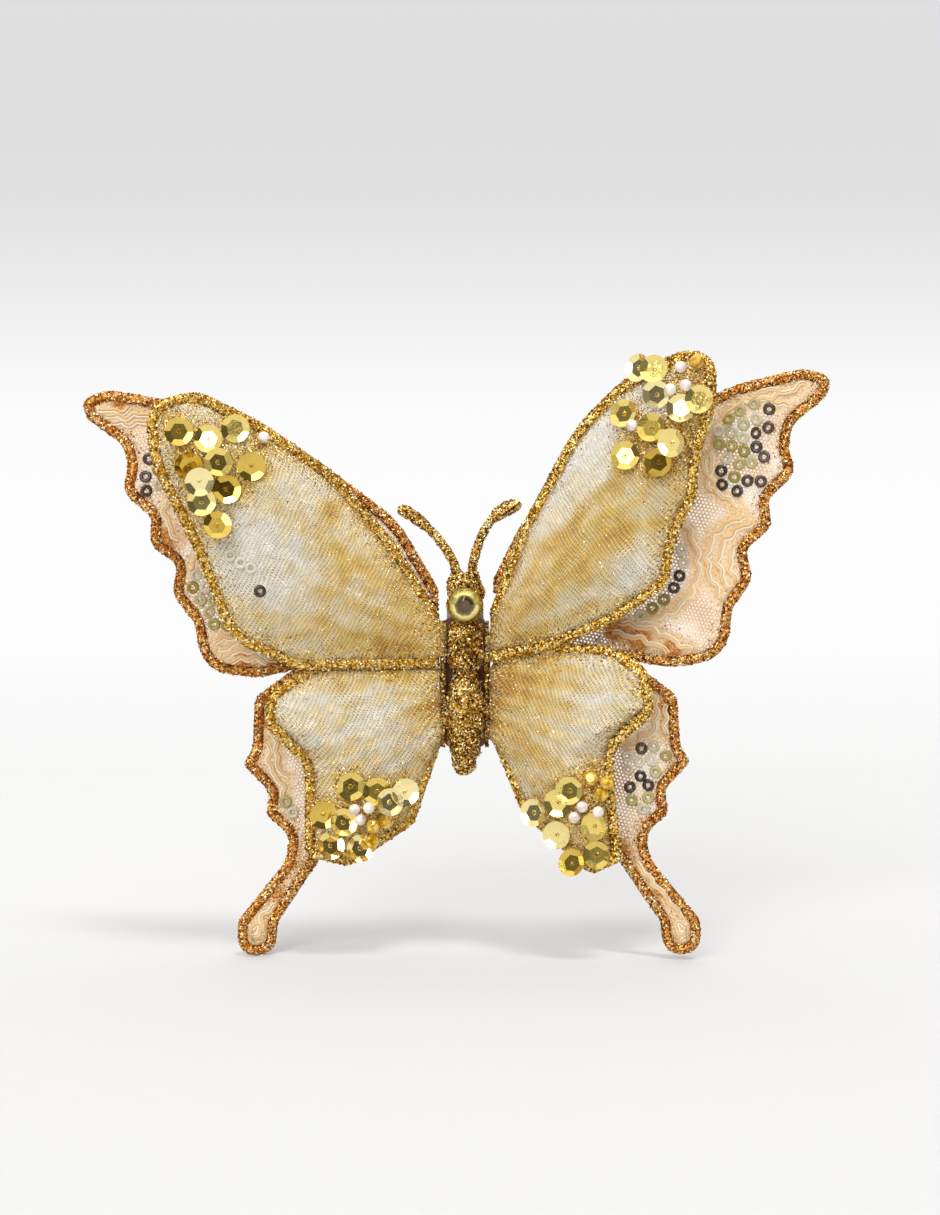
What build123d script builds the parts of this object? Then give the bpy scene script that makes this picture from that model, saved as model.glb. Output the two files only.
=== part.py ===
from build123d import *
import math
import os

# Butterfly ornament on a spring clip: two layers of wired fabric wings on a glittered body.
# The origin is the centre of the clip's twig seat. +X is the viewer's right, the front
# faces -Y and +Z is up.

os.makedirs("parts", exist_ok=True)

# Spring clip, stamped from steel strip
twig_radius = 2.2
clip_gauge = 0.6
clip_width = 8.0
clip_nose_drop = 9.0
clip_tail_rise = 19.0
pin_rise = 11.0
pin_radius = 0.6
pin_bore_clearance = 0.05
pin_end_overhang = 0.35
ear_radius = 1.7
flange_side_clearance = 0.2
parting_gap = 0.08
tooth_pitch = 1.2
tooth_depth = 0.7
lever_bend_rise = 13.2
lever_tail_rise = 21.0
lever_tail_flare = 7.0
spring_wire_radius = 0.3
spring_wire_sides = 6
spring_coil_radius = 1.4
spring_pitch = 1.05
spring_whole_turns = 3
spring_base_leg = 5.2
spring_lever_leg = 5.6
spring_seat_clearance = 0.05
spring_lean_share = 0.33

# Felt pad between the clip and the body
pad_thickness = 1.6
pad_half_width = 5.5
pad_top = 16.0
pad_bottom = -13.0
pad_corner_radius = 4.0

# Body, moulded round a spine wire and flattened where it is glued to the pad
body_flat = 0.3
body_half_width = 4.2
abdomen_half_width = 4.3
abdomen_tip = -18.2
waist_height = 4.6
neck_height = 15.4
head_half_width = 3.9
head_top = 26.8
head_face_depth = 3.2
spine_radius = 0.6
spine_bore_clearance = 0.05
spine_bottom = -12.0
spine_top = 22.5
gem_radius = 3.8
gem_height = 18.9
gem_table_radius = 2.55
gem_girdle = 0.5
gem_crown = 1.5

# Antennae: stiff glittered wires with clubbed ends
antenna_radius = 0.8
antenna_club_radius = 1.45
antenna_club_length = 7.6
antenna_gap = 0.25
antenna_bend_share = 0.45

# Wings: a pair of layers on each side, all hinged on the wires along the body
root_wire_radius = 0.4
root_wire_clearance = 0.15
root_wire_bottom = -12.0
root_wire_top = 19.5
root_edge_gap = 0.8
wing_root_height = 6.4
border_thickness = 1.1
layer_gap = 0.35
back_border_width = 2.2
front_border_width = 2.6
net_thickness = 0.3
lining_thickness = 0.3
lining_drop = 0.15
skin_thickness = 0.4
skin_edge_clearance = 0.1
least_round = 0.15
outline_sag = 0.05

back_forewing_span = 77.4
back_forewing_rise = 58.6
back_hindwing_span = 44.8
back_hindwing_drop = 63.2
front_forewing_span = 64.0
front_forewing_rise = 58.6
front_hindwing_span = 38.4
front_hindwing_drop = 45.2
forewing_crown = 6.0
hindwing_crown = 5.0

# Trimmings sewn on the wings
sequin_rim_radius = 3.0
sequin_floor_radius = 1.9
sequin_depth = 0.55
sequin_gauge = 0.18
sequin_hole_radius = 0.55
pearl_radius = 1.25
bead_radius = 1.6
ring_radius = 1.25
ring_hole_radius = 0.55
ring_thickness = 0.3
trim_gap = 0.12

# Each side is set by hand: how far it is folded forward, and turned up in its own plane
sides = {"left": -1, "right": 1}
back_fold_degrees = {"left": 6.0, "right": 12.0}
front_fold_degrees = {"left": 12.0, "right": 24.0}
back_forewing_lift_degrees = {"left": 0.0, "right": 3.7}
front_forewing_lift_degrees = {"left": 0.0, "right": 9.5}
hindwing_lift_degrees = {"left": 0.0, "right": 1.6}

# Outlines, from the root's top round the tip and back: shares of the span and of the
# rise or drop, and the corner's radius as a share of the span. The front layer was cut
# and bent by hand, so it has an outline for each side
back_forewing_shares = [
    (0.0, 0.245, 0.01),
    (0.122, 0.520, 0.30),
    (0.394, 0.790, 0.50),
    (0.740, 0.958, 0.30),
    (0.925, 1.000, 0.10),
    (1.000, 0.960, 0.03),
    (0.977, 0.891, 0.03),
    (0.882, 0.799, 0.06),
    (0.868, 0.717, 0.08),
    (0.886, 0.628, 0.05),
    (0.806, 0.536, 0.03),
    (0.811, 0.433, 0.045),
    (0.736, 0.362, 0.035),
    (0.751, 0.249, 0.06),
    (0.690, 0.150, 0.06),
    (0.667, -0.032, 0.10),
    (0.510, -0.058, 0.20),
    (0.394, -0.022, 0.20),
    (0.0, -0.022, 0.01),
]
back_hindwing_shares = [
    (0.0, 0.0, 0.02),
    (0.665, 0.0, 0.20),
    (0.905, -0.125, 0.08),
    (0.915, -0.300, 0.10),
    (0.962, -0.354, 0.02),
    (0.836, -0.448, 0.06),
    (0.850, -0.530, 0.03),
    (0.738, -0.600, 0.10),
    (0.757, -0.690, 0.20),
    (0.993, -0.895, 0.09),
    (0.993, -1.015, 0.085),
    (0.810, -1.015, 0.085),
    (0.800, -0.905, 0.06),
    (0.583, -0.672, 0.10),
    (0.447, -0.645, 0.15),
    (0.190, -0.530, 0.06),
    (0.0, -0.285, 0.02),
]
front_forewing_shares = {
    "left": [
        (0.0, 0.150, 0.02),
        (0.160, 0.440, 0.60),
        (0.381, 0.710, 0.50),
        (0.608, 0.880, 0.50),
        (0.825, 0.997, 0.15),
        (1.000, 0.952, 0.10),
        (0.978, 0.725, 0.35),
        (0.838, 0.420, 0.60),
        (0.723, 0.089, 0.20),
        (0.488, -0.022, 0.15),
        (0.0, -0.022, 0.02),
    ],
    "right": [
        (0.040, 0.185, 0.02),
        (0.194, 0.464, 0.60),
        (0.442, 0.792, 0.50),
        (0.648, 0.945, 0.50),
        (0.870, 1.000, 0.12),
        (0.965, 0.955, 0.08),
        (0.943, 0.785, 0.20),
        (0.853, 0.606, 0.40),
        (0.831, 0.481, 0.10),
        (0.727, 0.324, 0.30),
        (0.688, 0.180, 0.10),
        (0.470, 0.070, 0.50),
        (0.270, 0.018, 0.30),
        (0.0, -0.010, 0.02),
    ],
}
front_hindwing_shares = {
    "left": [
        (0.0, 0.022, 0.03),
        (0.700, 0.022, 0.30),
        (1.000, -0.140, 0.15),
        (1.000, -0.301, 0.12),
        (0.781, -0.487, 0.15),
        (0.786, -0.920, 0.07),
        (0.529, -0.978, 0.12),
        (0.161, -0.783, 0.08),
        (0.0, -0.392, 0.05),
    ],
    "right": [
        (0.0, 0.010, 0.03),
        (0.300, 0.092, 0.30),
        (0.720, 0.082, 0.30),
        (0.945, -0.025, 0.12),
        (0.985, -0.240, 0.10),
        (0.740, -0.410, 0.15),
        (0.735, -0.590, 0.60),
        (0.775, -0.938, 0.05),
        (0.583, -1.013, 0.08),
        (0.182, -0.739, 0.15),
        (0.0, -0.376, 0.05),
    ],
}

# A puffed panel: its outline drawn in about a centre, and the height of the crown there
forewing_centre_shares = (0.47, 0.45)
hindwing_centre_shares = (0.47, -0.45)
puff_shares = [(1.0, 0.0), (0.86, 0.42), (0.62, 0.80), (0.32, 1.0)]

# Places of the trimmings, as shares of the wing's span and of its rise or drop, in the
# order in which they were sewn on
forewing_trim_shares = {
    "left": [
        ("sequin", 0.892, 0.849),
        ("sequin", 0.708, 0.860),
        ("sequin", 0.863, 0.728),
        ("sequin", 0.659, 0.725),
        ("sequin", 0.742, 0.642),
        ("sequin", 0.825, 0.599),
        ("sequin", 0.797, 0.821),
        ("sequin", 0.776, 0.513),
        ("sequin", 0.770, 0.739),
        ("sequin", 0.833, 0.671),
        ("pearl", 0.610, 0.826),
    ],
    "right": [
        ("sequin", 0.703, 0.961),
        ("sequin", 0.768, 0.854),
        ("sequin", 0.649, 0.806),
        ("sequin", 0.842, 0.790),
        ("sequin", 0.740, 0.738),
        ("sequin", 0.641, 0.656),
        ("sequin", 0.747, 0.615),
        ("sequin", 0.912, 0.809),
        ("sequin", 0.776, 0.942),
        ("sequin", 0.806, 0.675),
        ("bead", 0.908, 0.945),
        ("pearl", 0.855, 0.930),
        ("pearl", 0.831, 0.862),
        ("pearl", 0.885, 0.862),
        ("pearl", 0.683, 0.753),
    ],
}
hindwing_trim_shares = {
    "left": [
        ("sequin", 0.547, -0.577),
        ("sequin", 0.400, -0.603),
        ("sequin", 0.246, -0.606),
        ("sequin", 0.695, -0.712),
        ("sequin", 0.650, -0.866),
        ("sequin", 0.480, -0.884),
        ("sequin", 0.337, -0.650),
        ("sequin", 0.586, -0.750),
        ("bead", 0.425, -0.765),
        ("bead", 0.338, -0.755),
        ("bead", 0.425, -0.850),
        ("pearl", 0.528, -0.681),
        ("pearl", 0.455, -0.682),
        ("pearl", 0.493, -0.738),
    ],
    "right": [
        ("sequin", 0.452, -0.657),
        ("sequin", 0.657, -0.767),
        ("sequin", 0.411, -0.819),
        ("sequin", 0.645, -0.909),
        ("sequin", 0.503, -0.950),
        ("sequin", 0.312, -0.707),
        ("sequin", 0.530, -0.597),
        ("bead", 0.634, -0.545),
        ("bead", 0.728, -0.560),
        ("bead", 0.680, -0.622),
        ("pearl", 0.600, -0.680),
        ("pearl", 0.700, -0.690),
        ("pearl", 0.551, -0.730),
    ],
}

# Places of the ring sequins on the net, as shares of the back wing's span and rise or drop
forewing_ring_shares = {
    "left": [
        (0.812, 0.748),
        (0.821, 0.683),
        (0.820, 0.632),
        (0.788, 0.708),
        (0.784, 0.655),
        (0.685, 0.322),
        (0.650, 0.322),
        (0.694, 0.278),
        (0.659, 0.278),
        (0.673, 0.234),
        (0.638, 0.232),
        (0.649, 0.188),
        (0.613, 0.186),
        (0.636, 0.142),
        (0.600, 0.138),
        (0.577, 0.196),
    ],
    "right": [
        (0.823, 0.861),
        (0.818, 0.795),
        (0.784, 0.778),
        (0.782, 0.728),
        (0.802, 0.690),
        (0.752, 0.608),
        (0.788, 0.603),
        (0.723, 0.573),
        (0.682, 0.650),
        (0.683, 0.600),
        (0.783, 0.883),
        (0.744, 0.861),
        (0.787, 0.828),
        (0.712, 0.835),
        (0.750, 0.812),
        (0.716, 0.786),
        (0.748, 0.764),
        (0.681, 0.796),
        (0.680, 0.748),
        (0.714, 0.738),
        (0.748, 0.717),
        (0.766, 0.673),
        (0.699, 0.693),
        (0.733, 0.671),
        (0.717, 0.625),
        (0.550, 0.277),
        (0.532, 0.235),
        (0.559, 0.370),
        (0.563, 0.323),
        (0.502, 0.193),
        (0.469, 0.163),
        (0.434, 0.143),
    ],
}
hindwing_ring_shares = {
    "left": [
        (0.758, -0.483),
        (0.725, -0.521),
    ],
    "right": [
        (0.729, -0.307),
        (0.788, -0.301),
        (0.845, -0.332),
        (0.660, -0.334),
        (0.718, -0.351),
        (0.776, -0.347),
        (0.660, -0.378),
        (0.721, -0.402),
        (0.794, -0.389),
        (0.758, -0.433),
        (0.667, -0.440),
        (0.675, -0.484),
        (0.755, -0.476),
        (0.731, -0.515),
    ],
}

# Worked out from the sizes above
clip_half_width = clip_width / 2
clip_back = twig_radius + clip_gauge
pad_front = clip_back + pad_thickness
body_depth = pad_front + body_half_width - body_flat
hinge_offset = body_half_width + root_wire_radius + root_wire_clearance
layer_pitch = border_thickness + layer_gap
pin_bore_radius = pin_radius + pin_bore_clearance


def save(builder, name):
    """Label a finished piece and write its file."""
    builder.part.label = name
    export_step(builder.part, f"parts/{name}.step")


def banded(rings):
    """A solid with flat faces between rings of points that have the same number of points."""
    faces = []
    for low, high in zip(rings, rings[1:]):
        for i in range(len(low)):
            faces.append(Face(Wire.make_polygon([low[i - 1], low[i], high[i], high[i - 1]])))
    for end in (rings[0], rings[-1]):
        faces.append(Face(Wire.make_polygon(end)))
    return Solid(Shell(faces))


def round_ring(plane, radius, height, sides):
    """Points of a regular polygon about a plane's own Z axis, at a height above it."""
    turns = [math.tau * side / sides for side in range(sides)]
    return [
        plane.from_local_coords((radius * math.cos(turn), radius * math.sin(turn), height))
        for turn in turns
    ]


# Clip base: a plate with two side flanges, notched for the twig and toothed at the nose


def flange_outline(facing):
    """One side flange of a jaw, drawn across the clip: facing is -1 on the base, 1 on the lever."""
    tooth_count = int((clip_nose_drop - twig_radius - tooth_pitch / 2) / tooth_pitch)
    edge = facing * parting_gap
    root = facing * (parting_gap + tooth_depth)
    back = facing * twig_radius
    points = [(back, -clip_nose_drop)]
    for tooth in range(tooth_count):
        points.append((root, tooth * tooth_pitch - clip_nose_drop))
        points.append((edge, (tooth + 0.5) * tooth_pitch - clip_nose_drop))
    points.append((root, tooth_count * tooth_pitch - clip_nose_drop))
    points.append((root, 0))
    points.append((root, pin_rise))
    points.append((back, pin_rise + ear_radius))
    with BuildLine() as outline:
        Polyline(points, close=True)
    make_face(outline.edges())
    with Locations((0, pin_rise)):
        Circle(ear_radius)
        Circle(pin_bore_radius, mode=Mode.SUBTRACT)
    Circle(twig_radius, mode=Mode.SUBTRACT)


with BuildPart() as clip_base:
    with BuildSketch(Plane.XZ.offset(twig_radius)):
        with Locations((0, (clip_tail_rise - clip_nose_drop) / 2)):
            Rectangle(clip_width, clip_tail_rise + clip_nose_drop)
    extrude(amount=clip_gauge)
    for side in sides.values():
        with BuildSketch(Plane.YZ.offset(side * (clip_half_width - clip_gauge / 2))):
            flange_outline(-1)
        extrude(amount=clip_gauge / 2, both=True)
save(clip_base, "clip_base")

# Clip lever: the moving jaw, nested between the base's flanges, with a flared finger tab
lever_half_width = clip_half_width - clip_gauge - flange_side_clearance

with BuildPart() as clip_lever:
    with BuildSketch(Plane.YZ):
        with BuildLine():
            Polyline(
                (twig_radius, -clip_nose_drop),
                (clip_back, -clip_nose_drop),
                (clip_back, lever_bend_rise),
                (lever_tail_flare + clip_gauge, lever_tail_rise),
                (lever_tail_flare, lever_tail_rise),
                (twig_radius, lever_bend_rise),
                close=True,
            )
        make_face()
    extrude(amount=lever_half_width, both=True)
    for side in sides.values():
        with BuildSketch(Plane.YZ.offset(side * (lever_half_width - clip_gauge / 2))):
            flange_outline(1)
        extrude(amount=clip_gauge / 2, both=True)
save(clip_lever, "clip_lever")

with BuildPart() as clip_pin:
    with BuildSketch(Plane.YZ.offset(-clip_half_width - pin_end_overhang)):
        with Locations((0, pin_rise)):
            Circle(pin_radius)
    extrude(amount=clip_width + 2 * pin_end_overhang)
save(clip_pin, "clip_pin")

# Clip spring: a torsion coil round the pin, whose two legs spread the tabs above it


def helix_point(angle, start_angle, start_x):
    """Point and direction on the coil's centre line at an angle about the pin, in radians."""
    rate = spring_pitch / math.tau
    place = Vector(
        start_x + rate * (angle - start_angle),
        spring_coil_radius * math.cos(angle),
        pin_rise + spring_coil_radius * math.sin(angle),
    )
    heading = Vector(
        rate,
        -spring_coil_radius * math.sin(angle),
        spring_coil_radius * math.cos(angle),
    )
    return place, heading.normalized()


def biarc(start, start_heading, end, end_heading):
    """Two arcs that join smoothly half way between two points with given headings."""
    chord = end - start
    square = 2 * (start_heading.dot(end_heading) - 1)
    middle = -2 * chord.dot(start_heading + end_heading)
    reach = (-middle - math.sqrt(middle**2 - 4 * square * chord.dot(chord))) / (2 * square)
    near = start + start_heading * reach
    far = end - end_heading * reach
    joint = (near + far) * 0.5
    TangentArc(start, joint, tangent=start_heading)
    TangentArc(joint, end, tangent=far - near)
    return joint


base_lean = math.asin(
    (twig_radius - spring_coil_radius - spring_wire_radius - spring_seat_clearance) / spring_base_leg
)
tail_lean = math.atan2(lever_tail_flare - twig_radius, lever_tail_rise - lever_bend_rise)
lever_lean = tail_lean * spring_lean_share
coil_start_angle = math.pi + base_lean
coil_sweep = math.tau * spring_whole_turns + math.pi - base_lean - lever_lean
coil_steps = 4 * spring_whole_turns + 2
coil_start_x = -spring_pitch * coil_sweep / math.tau / 2
coil_stations = []
for step in range(coil_steps + 1):
    angle = coil_start_angle + coil_sweep * step / coil_steps
    coil_stations.append(helix_point(angle, coil_start_angle, coil_start_x))

with BuildPart() as clip_spring:
    with BuildLine() as spring_line:
        first, first_heading = coil_stations[0]
        last, last_heading = coil_stations[-1]
        leg_foot = first - first_heading * spring_base_leg
        Line(leg_foot, first)
        for (start, start_heading), (end, end_heading) in zip(coil_stations, coil_stations[1:]):
            biarc(start, start_heading, end, end_heading)
        Line(last, last + last_heading * spring_lever_leg)
    with BuildSketch(Plane(origin=leg_foot, z_dir=first_heading)):
        RegularPolygon(spring_wire_radius, spring_wire_sides)
    sweep()
save(clip_spring, "clip_spring")

# The spring's own measures, printed: its curls must stand clear of one another
spring_path = spring_line.wire()
sample_count = 240
samples = [spring_path @ (i / sample_count) for i in range(sample_count + 1)]
step_length = spring_path.length / sample_count
least_gap = min(
    (samples[i] - samples[j]).length - 2 * spring_wire_radius
    for i in range(sample_count + 1)
    for j in range(i)
    if (i - j) * step_length > math.pi * spring_coil_radius
)
print("spring: least gap to itself", round(least_gap, 3), "mm")
print("spring: volume", round(clip_spring.part.volume, 3), "length", round(spring_path.length, 3))

# Felt pad that the clip, the body and the wing roots are glued to
with BuildPart() as back_pad:
    with BuildSketch(Plane.XZ.offset(clip_back)):
        with Locations((0, (pad_top + pad_bottom) / 2)):
            RectangleRounded(2 * pad_half_width, pad_top - pad_bottom, pad_corner_radius)
    extrude(amount=pad_thickness)
save(back_pad, "back_pad")

# Body: three forms strung on a spine wire. Profiles are shares of each form's own half
# width and of the stretch between its two ends, from the bottom up
body_facets = 18
abdomen_profile_shares = [
    (0.34, 0.0),
    (0.56, 0.07),
    (0.66, 0.15),
    (0.63, 0.17),
    (0.80, 0.27),
    (0.77, 0.29),
    (0.92, 0.40),
    (0.89, 0.42),
    (1.0, 0.55),
    (1.0, 0.70),
    (0.90, 0.88),
    (0.70, 1.0),
]
thorax_profile_shares = [
    (0.72, 0.0),
    (0.96, 0.16),
    (1.0, 0.36),
    (0.90, 0.52),
    (0.96, 0.70),
    (0.86, 0.90),
    (0.66, 1.0),
]
head_profile_shares = [
    (0.66, 0.0),
    (0.92, 0.16),
    (1.0, 0.42),
    (0.96, 0.68),
    (0.74, 0.90),
    (0.40, 1.0),
]


def body_form(profile_shares, half_width, bottom, top):
    """Turn a profile about the spine in flats, flatten its back and bore it for the spine wire."""
    foot = Plane(origin=(0, -body_depth, bottom))
    rings = [
        round_ring(foot, out * half_width, up * (top - bottom), body_facets)
        for out, up in profile_shares
    ]
    add(banded(rings))
    split(bisect_by=Plane.XZ.offset(pad_front), keep=Keep.TOP)
    with BuildSketch(Plane.XY.offset(spine_bottom)) as bore:
        with Locations((0, -body_depth)):
            Circle(spine_radius + spine_bore_clearance)
    extrude(bore.sketch, amount=spine_top - spine_bottom, mode=Mode.SUBTRACT)


with BuildPart() as abdomen:
    body_form(abdomen_profile_shares, abdomen_half_width, abdomen_tip, waist_height)
save(abdomen, "abdomen")

with BuildPart() as thorax:
    body_form(thorax_profile_shares, body_half_width, waist_height, neck_height)
save(thorax, "thorax")

head_face = body_depth + head_face_depth

with BuildPart() as head:
    body_form(head_profile_shares, head_half_width, neck_height, head_top)
    split(bisect_by=Plane.XZ.offset(head_face), keep=Keep.BOTTOM)
save(head, "head")

with BuildPart() as spine_wire:
    with BuildSketch(Plane.XY.offset(spine_bottom)):
        with Locations((0, -body_depth)):
            Circle(spine_radius)
    extrude(amount=spine_top - spine_bottom)
save(spine_wire, "spine_wire")

# Flat-backed stone with a girdle, sloping crown facets and a table
gem_sides = 12
with BuildPart() as head_gem:
    with BuildSketch(Plane.XZ.offset(head_face)):
        with Locations((0, gem_height)):
            RegularPolygon(gem_radius, gem_sides)
    extrude(amount=gem_girdle)
    with BuildSketch(Plane.XZ.offset(head_face + gem_girdle)):
        with Locations((0, gem_height)):
            RegularPolygon(gem_radius, gem_sides)
    with BuildSketch(Plane.XZ.offset(head_face + gem_girdle + gem_crown)):
        with Locations((0, gem_height)):
            RegularPolygon(gem_table_radius, gem_sides)
    loft(ruled=True)
save(head_gem, "head_gem")

# Antennae: places along each wire, hand-set like the wings, from the head to the tip,
# as shares of the head's half width, its full height above the neck and the body's depth
antenna_route_shares = {
    "left": [
        (-0.50, 1.0, 0.0),
        (-1.38, 1.49, 0.12),
        (-2.20, 1.77, 0.26),
        (-3.20, 2.02, 0.42),
        (-3.62, 2.06, 0.48),
    ],
    "right": [
        (0.40, 1.0, 0.0),
        (0.86, 1.56, 0.12),
        (1.55, 1.92, 0.26),
        (2.45, 2.12, 0.40),
        (3.00, 2.15, 0.46),
    ],
}
head_height = head_top - neck_height
club_shares = [(0.62, 0.0), (1.0, 0.30), (1.0, 0.72), (0.70, 0.94)]
antenna_facets = 6
club_facets = 12

for side_name in sides:
    route = [
        Vector(
            across * head_half_width,
            (back - 1) * body_depth,
            neck_height + up * head_height + antenna_gap,
        )
        for across, up, back in antenna_route_shares[side_name]
    ]
    bends = []
    for before, here, after in zip(route, route[1:], route[2:]):
        run_in = here - before
        run_out = after - here
        half_turn = math.radians(run_in.get_angle(run_out)) / 2
        bends.append(antenna_bend_share * min(run_in.length, run_out.length) / math.tan(half_turn))
    print(side_name, "antenna: bend radii", [round(bend, 1) for bend in bends])
    tip_heading = (route[-1] - route[-2]).normalized()
    club_foot = route[-1] - tip_heading * antenna_club_length
    club_plane = Plane(origin=club_foot, z_dir=tip_heading)
    with BuildPart() as antenna:
        with BuildLine():
            FilletPolyline(route, radius=bends)
        with BuildSketch(Plane(origin=route[0], z_dir=route[1] - route[0])):
            RegularPolygon(antenna_radius, antenna_facets)
        sweep()
        club = [
            round_ring(club_plane, out * antenna_club_radius, up * antenna_club_length, club_facets)
            for out, up in club_shares
        ]
        add(banded(club))
    save(antenna, f"{side_name}_antenna")

# Wings


def wing_plane(side_name, fold, lift, layer):
    """Plane of a wing layer: X along the span, Y up the wing, Z towards the front."""
    side = sides[side_name]
    turn = math.radians(fold[side_name])
    hinge = Plane(
        origin=(side * hinge_offset, -body_depth, wing_root_height),
        x_dir=(math.cos(turn), -side * math.sin(turn), 0),
        z_dir=(-side * math.sin(turn), -math.cos(turn), 0),
    )
    return hinge.offset(-layer * layer_pitch).moved(Rotation(0, 0, side * lift[side_name]))


def root_plane(side_name, fold):
    """Plane that trims the wing roots, facing outwards along the span."""
    side = sides[side_name]
    turn = math.radians(fold[side_name])
    outwards = Vector(side * math.cos(turn), -math.sin(turn), 0)
    hinge = Vector(side * hinge_offset, -body_depth, wing_root_height)
    return Plane(origin=hinge + outwards * root_edge_gap, z_dir=outwards)


def wing_outline(shares, span, rise, inset=0):
    """Points of a wing outline moved inwards, with its corners rounded off in short chords."""
    points = [Vector(u * span, v * rise) for u, v, _ in shares]
    outline = []
    for i, point in enumerate(points):
        before = (point - points[i - 1]).normalized()
        after = (points[(i + 1) % len(points)] - point).normalized()
        hand = math.copysign(1, before.X * after.Y - before.Y * after.X)
        inwards = Vector(before.Y + after.Y, -before.X - after.X)
        corner = point + inwards * (inset / (1 + before.dot(after)))
        radius = max(shares[i][2] * span + hand * inset, least_round)
        turn = math.radians(before.get_angle(after))
        steps = math.ceil(turn / (2 * math.acos(1 - outline_sag / radius)))
        sideways = Vector(-before.Y, before.X) * hand
        centre = corner - before * (radius * math.tan(turn / 2)) + sideways * radius
        for step in range(steps + 1):
            angle = turn * step / steps
            outline.append(centre + (before * math.sin(angle) - sideways * math.cos(angle)) * radius)
    return outline


def draw_wing(side_name, outline, mode=Mode.ADD):
    """Draw a wing outline on the sketch in hand, turned over for the left side."""
    with BuildLine() as edge:
        Polyline([(sides[side_name] * p.X, p.Y) for p in outline], close=True)
    make_face(edge.edges(), mode=mode)


def reach_share(point, centre, points):
    """How far out a point lies from the centre, as a share of the way to the outline."""
    ray = point - centre
    for a, b in zip(points, points[1:] + points[:1]):
        edge = b - a
        cross = ray.X * edge.Y - ray.Y * edge.X
        if cross == 0:
            continue
        along = ((a.X - centre.X) * edge.Y - (a.Y - centre.Y) * edge.X) / cross
        across = ((a.X - centre.X) * ray.Y - (a.Y - centre.Y) * ray.X) / cross
        if along > 0 and 0 <= across <= 1:
            return 1 / along
    return 0


def puff_height(reach, crown):
    """Height of the puffed skin at a given reach, or of the border where the skin has ended."""
    if reach >= 1:
        return border_thickness / 2
    for (outer, low), (inner, high) in zip(puff_shares, puff_shares[1:]):
        if reach >= inner:
            height = (low + (high - low) * (outer - reach) / (outer - inner)) * crown
            return max(height, border_thickness / 2)
    return crown


# Pearls and beads: turned about their hole's axis, in flats
ball_shares = [(0.0, 0.0), (0.62, 0.12), (1.0, 0.5), (0.62, 0.88), (0.0, 1.0)]
ball_sides = 8

# How many ways round a trimming the skin's height is felt for when it is laid down
settle_spokes = 12


def settle(trims, span, rise, centre, points, crown):
    """Lay the trimmings down in order, each on the wing or on those that it overlaps."""
    radii = {"sequin": sequin_rim_radius, "bead": bead_radius, "pearl": pearl_radius}
    tops = {"sequin": sequin_depth, "bead": 2 * bead_radius, "pearl": 2 * pearl_radius}
    undersides = {"sequin": [(0, 0), (sequin_floor_radius, 0), (sequin_rim_radius, sequin_depth)]}
    for kind in ("bead", "pearl"):
        undersides[kind] = [(reach * radii[kind], up * tops[kind]) for reach, up in ball_shares[:3]]
    laid = []
    for kind, u, v in trims:
        place = Vector(u * span, v * rise)
        low = 0
        for spoke in range(settle_spokes):
            turn = math.tau * spoke / settle_spokes
            way = Vector(math.cos(turn), math.sin(turn))
            for out, up in undersides[kind]:
                low = max(low, puff_height(reach_share(place + way * out, centre, points), crown) - up)
        low = low + trim_gap
        for other_kind, other_place, other_low in laid:
            if (other_place - place).length < radii[other_kind] + radii[kind]:
                low = max(low, other_low + tops[other_kind] + trim_gap)
        laid.append((kind, place, low))
    return laid


# One cup sequin: a flat hexagonal floor with six facets sloping up to the rim
sequin_facets = 6
thread_hole_sides = 4
sequin_cup = [(sequin_floor_radius, 0), (sequin_rim_radius, sequin_depth)]
with BuildPart() as sequin_form:
    add(banded([round_ring(Plane.XY, out, up, sequin_facets) for out, up in sequin_cup]))
    inside = Plane.XY.offset(sequin_gauge)
    hollow = banded([round_ring(inside, out, up, sequin_facets) for out, up in sequin_cup])
    add(hollow, mode=Mode.SUBTRACT)
    with BuildSketch():
        RegularPolygon(sequin_hole_radius, thread_hole_sides)
    extrude(amount=sequin_depth, mode=Mode.SUBTRACT)


def ball(radius):
    """A bead in flats, standing on the plane in hand."""
    belt = ball_shares[1:-1]
    add(banded([round_ring(Plane.XY, out * radius, up * 2 * radius, ball_sides) for out, up in belt]))


with BuildPart() as pearl_form:
    ball(pearl_radius)

with BuildPart() as bead_form:
    ball(bead_radius)

# One ring sequin: a flat ring
ring_sides = 6
with BuildPart() as ring_form:
    with BuildSketch():
        RegularPolygon(ring_radius, ring_sides)
        RegularPolygon(ring_hole_radius, thread_hole_sides, mode=Mode.SUBTRACT)
    extrude(amount=ring_thickness)

# Back layer: a flat net panel in a glittered border, with ring sequins sewn to the net
back_wings = {
    "forewing": (
        back_forewing_shares,
        back_forewing_span,
        back_forewing_rise,
        back_forewing_lift_degrees,
        2,
        forewing_ring_shares,
    ),
    "hindwing": (
        back_hindwing_shares,
        back_hindwing_span,
        back_hindwing_drop,
        hindwing_lift_degrees,
        3,
        hindwing_ring_shares,
    ),
}

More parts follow.
